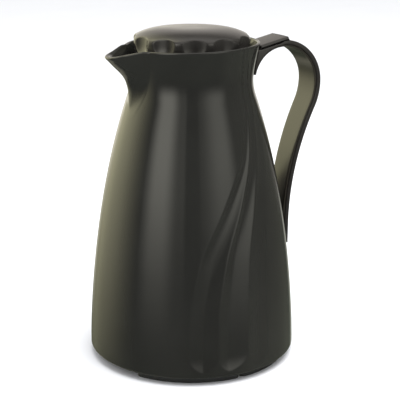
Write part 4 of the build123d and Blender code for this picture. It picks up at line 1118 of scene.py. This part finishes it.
def build_world():
    """Soft boxes and cards for the gloss to mirror, and plain pale paper for everything else."""
    world = bpy.data.worlds.new("studio")
    bpy.context.scene.world = world
    world.use_nodes = True
    tree = world.node_tree
    tree.nodes.clear()
    place = node(tree, "ShaderNodeTexCoord")
    split = node(tree, "ShaderNodeSeparateXYZ", {0: place.outputs["Generated"]})
    elevation = math_node(tree, "DEGREES", math_node(tree, "ARCSINE", split.outputs["Z"]))
    total = (0, 0, 0)
    for name, centre, half, left, right, low, high, low_soft, high_soft, tint, strength in PANELS:
        about = turned_azimuth(tree, split.outputs["X"], split.outputs["Y"], centre)
        wide = band(tree, about, -half, half, left, right)
        tall = band(tree, elevation, low, high, low_soft, high_soft)
        sockets = {0: tuple(c * strength for c in tint), "Scale": math_node(tree, "MULTIPLY", wide, tall)}
        panel = node(tree, "ShaderNodeVectorMath", sockets, operation="SCALE", label=name).outputs[0]
        total = node(tree, "ShaderNodeVectorMath", {0: total, 1: panel}, operation="ADD").outputs[0]
    sky = node(tree, "ShaderNodeBackground", {"Color": total})
    paper = node(tree, "ShaderNodeBackground", {"Color": (*PALE, 1)})
    rays = node(tree, "ShaderNodeLightPath")
    mix = node(tree, "ShaderNodeMixShader",
               {"Fac": rays.outputs["Is Glossy Ray"], 1: paper.outputs[0], 2: sky.outputs[0]})
    node(tree, "ShaderNodeOutputWorld", {"Surface": mix.outputs[0]})


def build_floor():
    size = FLOOR_REACH
    corners = [(-size, -size, 0), (size, -size, 0), (size, size, 0), (-size, size, 0)]
    floor = new_object("floor", corners, [(0, 1, 2, 3)])
    material, tree, shader = surface("pale_paper")
    feed(tree, shader.inputs["Base Color"], two_tone(tree, noise(tree, FLOOR_GRAIN), *FLOOR_TONES))
    shader.inputs["Roughness"].default_value = 0.9
    shader.inputs["Specular IOR Level"].default_value = 0.1
    floor.data.materials.append(material)
    floor.visible_glossy = False


def build_lamp():
    """A soft lamp aimed at the jug that lights it but isn't mirrored in it."""
    light = bpy.data.lights.new("top_lamp", "AREA")
    light.shape = "DISK"
    light.size = LAMP_SIZE
    light.energy = LAMP_POWER
    lamp = bpy.data.objects.new("top_lamp", light)
    bpy.context.scene.collection.objects.link(lamp)
    lamp.location = LAMP_PLACE
    aim = Vector(LAMP_AIM) - Vector(LAMP_PLACE)
    lamp.rotation_euler = aim.to_track_quat("-Z", "Y").to_euler()
    lamp.visible_glossy = False
    lamp.visible_camera = False


def build_camera():
    data = bpy.data.cameras.new("camera")
    data.lens = CAMERA_LENS
    data.sensor_width = 36.0
    data.shift_x = CAMERA_SHIFT
    data.clip_start = 0.01
    camera = bpy.data.objects.new("camera", data)
    bpy.context.scene.collection.objects.link(camera)
    camera.location = CAMERA_PLACE
    camera.rotation_euler = (math.radians(90 - CAMERA_PITCH), 0, math.radians(-CAMERA_HEADING))
    bpy.context.scene.camera = camera


class JUG_OT_stage(bpy.types.Operator):
    """Build the floor, the lights and the camera"""
    bl_idname = "jug.stage"
    bl_label = "Stage"

    def execute(self, context):
        context.scene.view_settings.view_transform = "Standard"
        build_world()
        build_floor()
        build_lamp()
        build_camera()
        return {"FINISHED"}


class JUG_OT_carried(bpy.types.Operator):
    """Give every piece carried over from the frame its finish"""
    bl_idname = "jug.carried"
    bl_label = "Carried-over Pieces"

    def execute(self, context):
        slots = {entry["node"]: entry["material_slot"] for entry in frame["record"]["subparts"]}
        for name, made in frame["nodes"].items():
            made.data.materials.clear()
            made.data.materials.append(finish(slots[name]))
        return {"FINISHED"}


class JUG_PT_panel(bpy.types.Panel):
    """Lists the jug's build steps"""
    bl_idname = "JUG_PT_panel"
    bl_label = "Thermal Jug"
    bl_space_type = "VIEW_3D"
    bl_region_type = "UI"
    bl_category = "Jug"

    def draw(self, context):
        for step in STEPS:
            self.layout.operator(step.bl_idname)


SETTINGS = {"jug_shell": JugShellSettings, "jug_handle": JugHandleSettings, "jug_lid": JugLidSettings,
            "jug_base": JugBaseSettings, "jug_finish": JugFinishSettings}
STEPS = (JUG_OT_carried, JUG_OT_shell, JUG_OT_handle, JUG_OT_lid, JUG_OT_feet, JUG_OT_screws, JUG_OT_stage)


def register():
    for name, group in SETTINGS.items():
        bpy.utils.register_class(group)
        setattr(bpy.types.Scene, name, PointerProperty(type=group))
    for step in (*STEPS, JUG_PT_panel):
        bpy.utils.register_class(step)


def unregister():
    for step in (JUG_PT_panel, *reversed(STEPS)):
        bpy.utils.unregister_class(step)
    for name, group in reversed(SETTINGS.items()):
        delattr(bpy.types.Scene, name)
        bpy.utils.unregister_class(group)


def main():
    register()
    for step in STEPS:
        group, operator = step.bl_idname.split(".")
        getattr(getattr(bpy.ops, group), operator)()


if __name__ == "__main__":
    main()
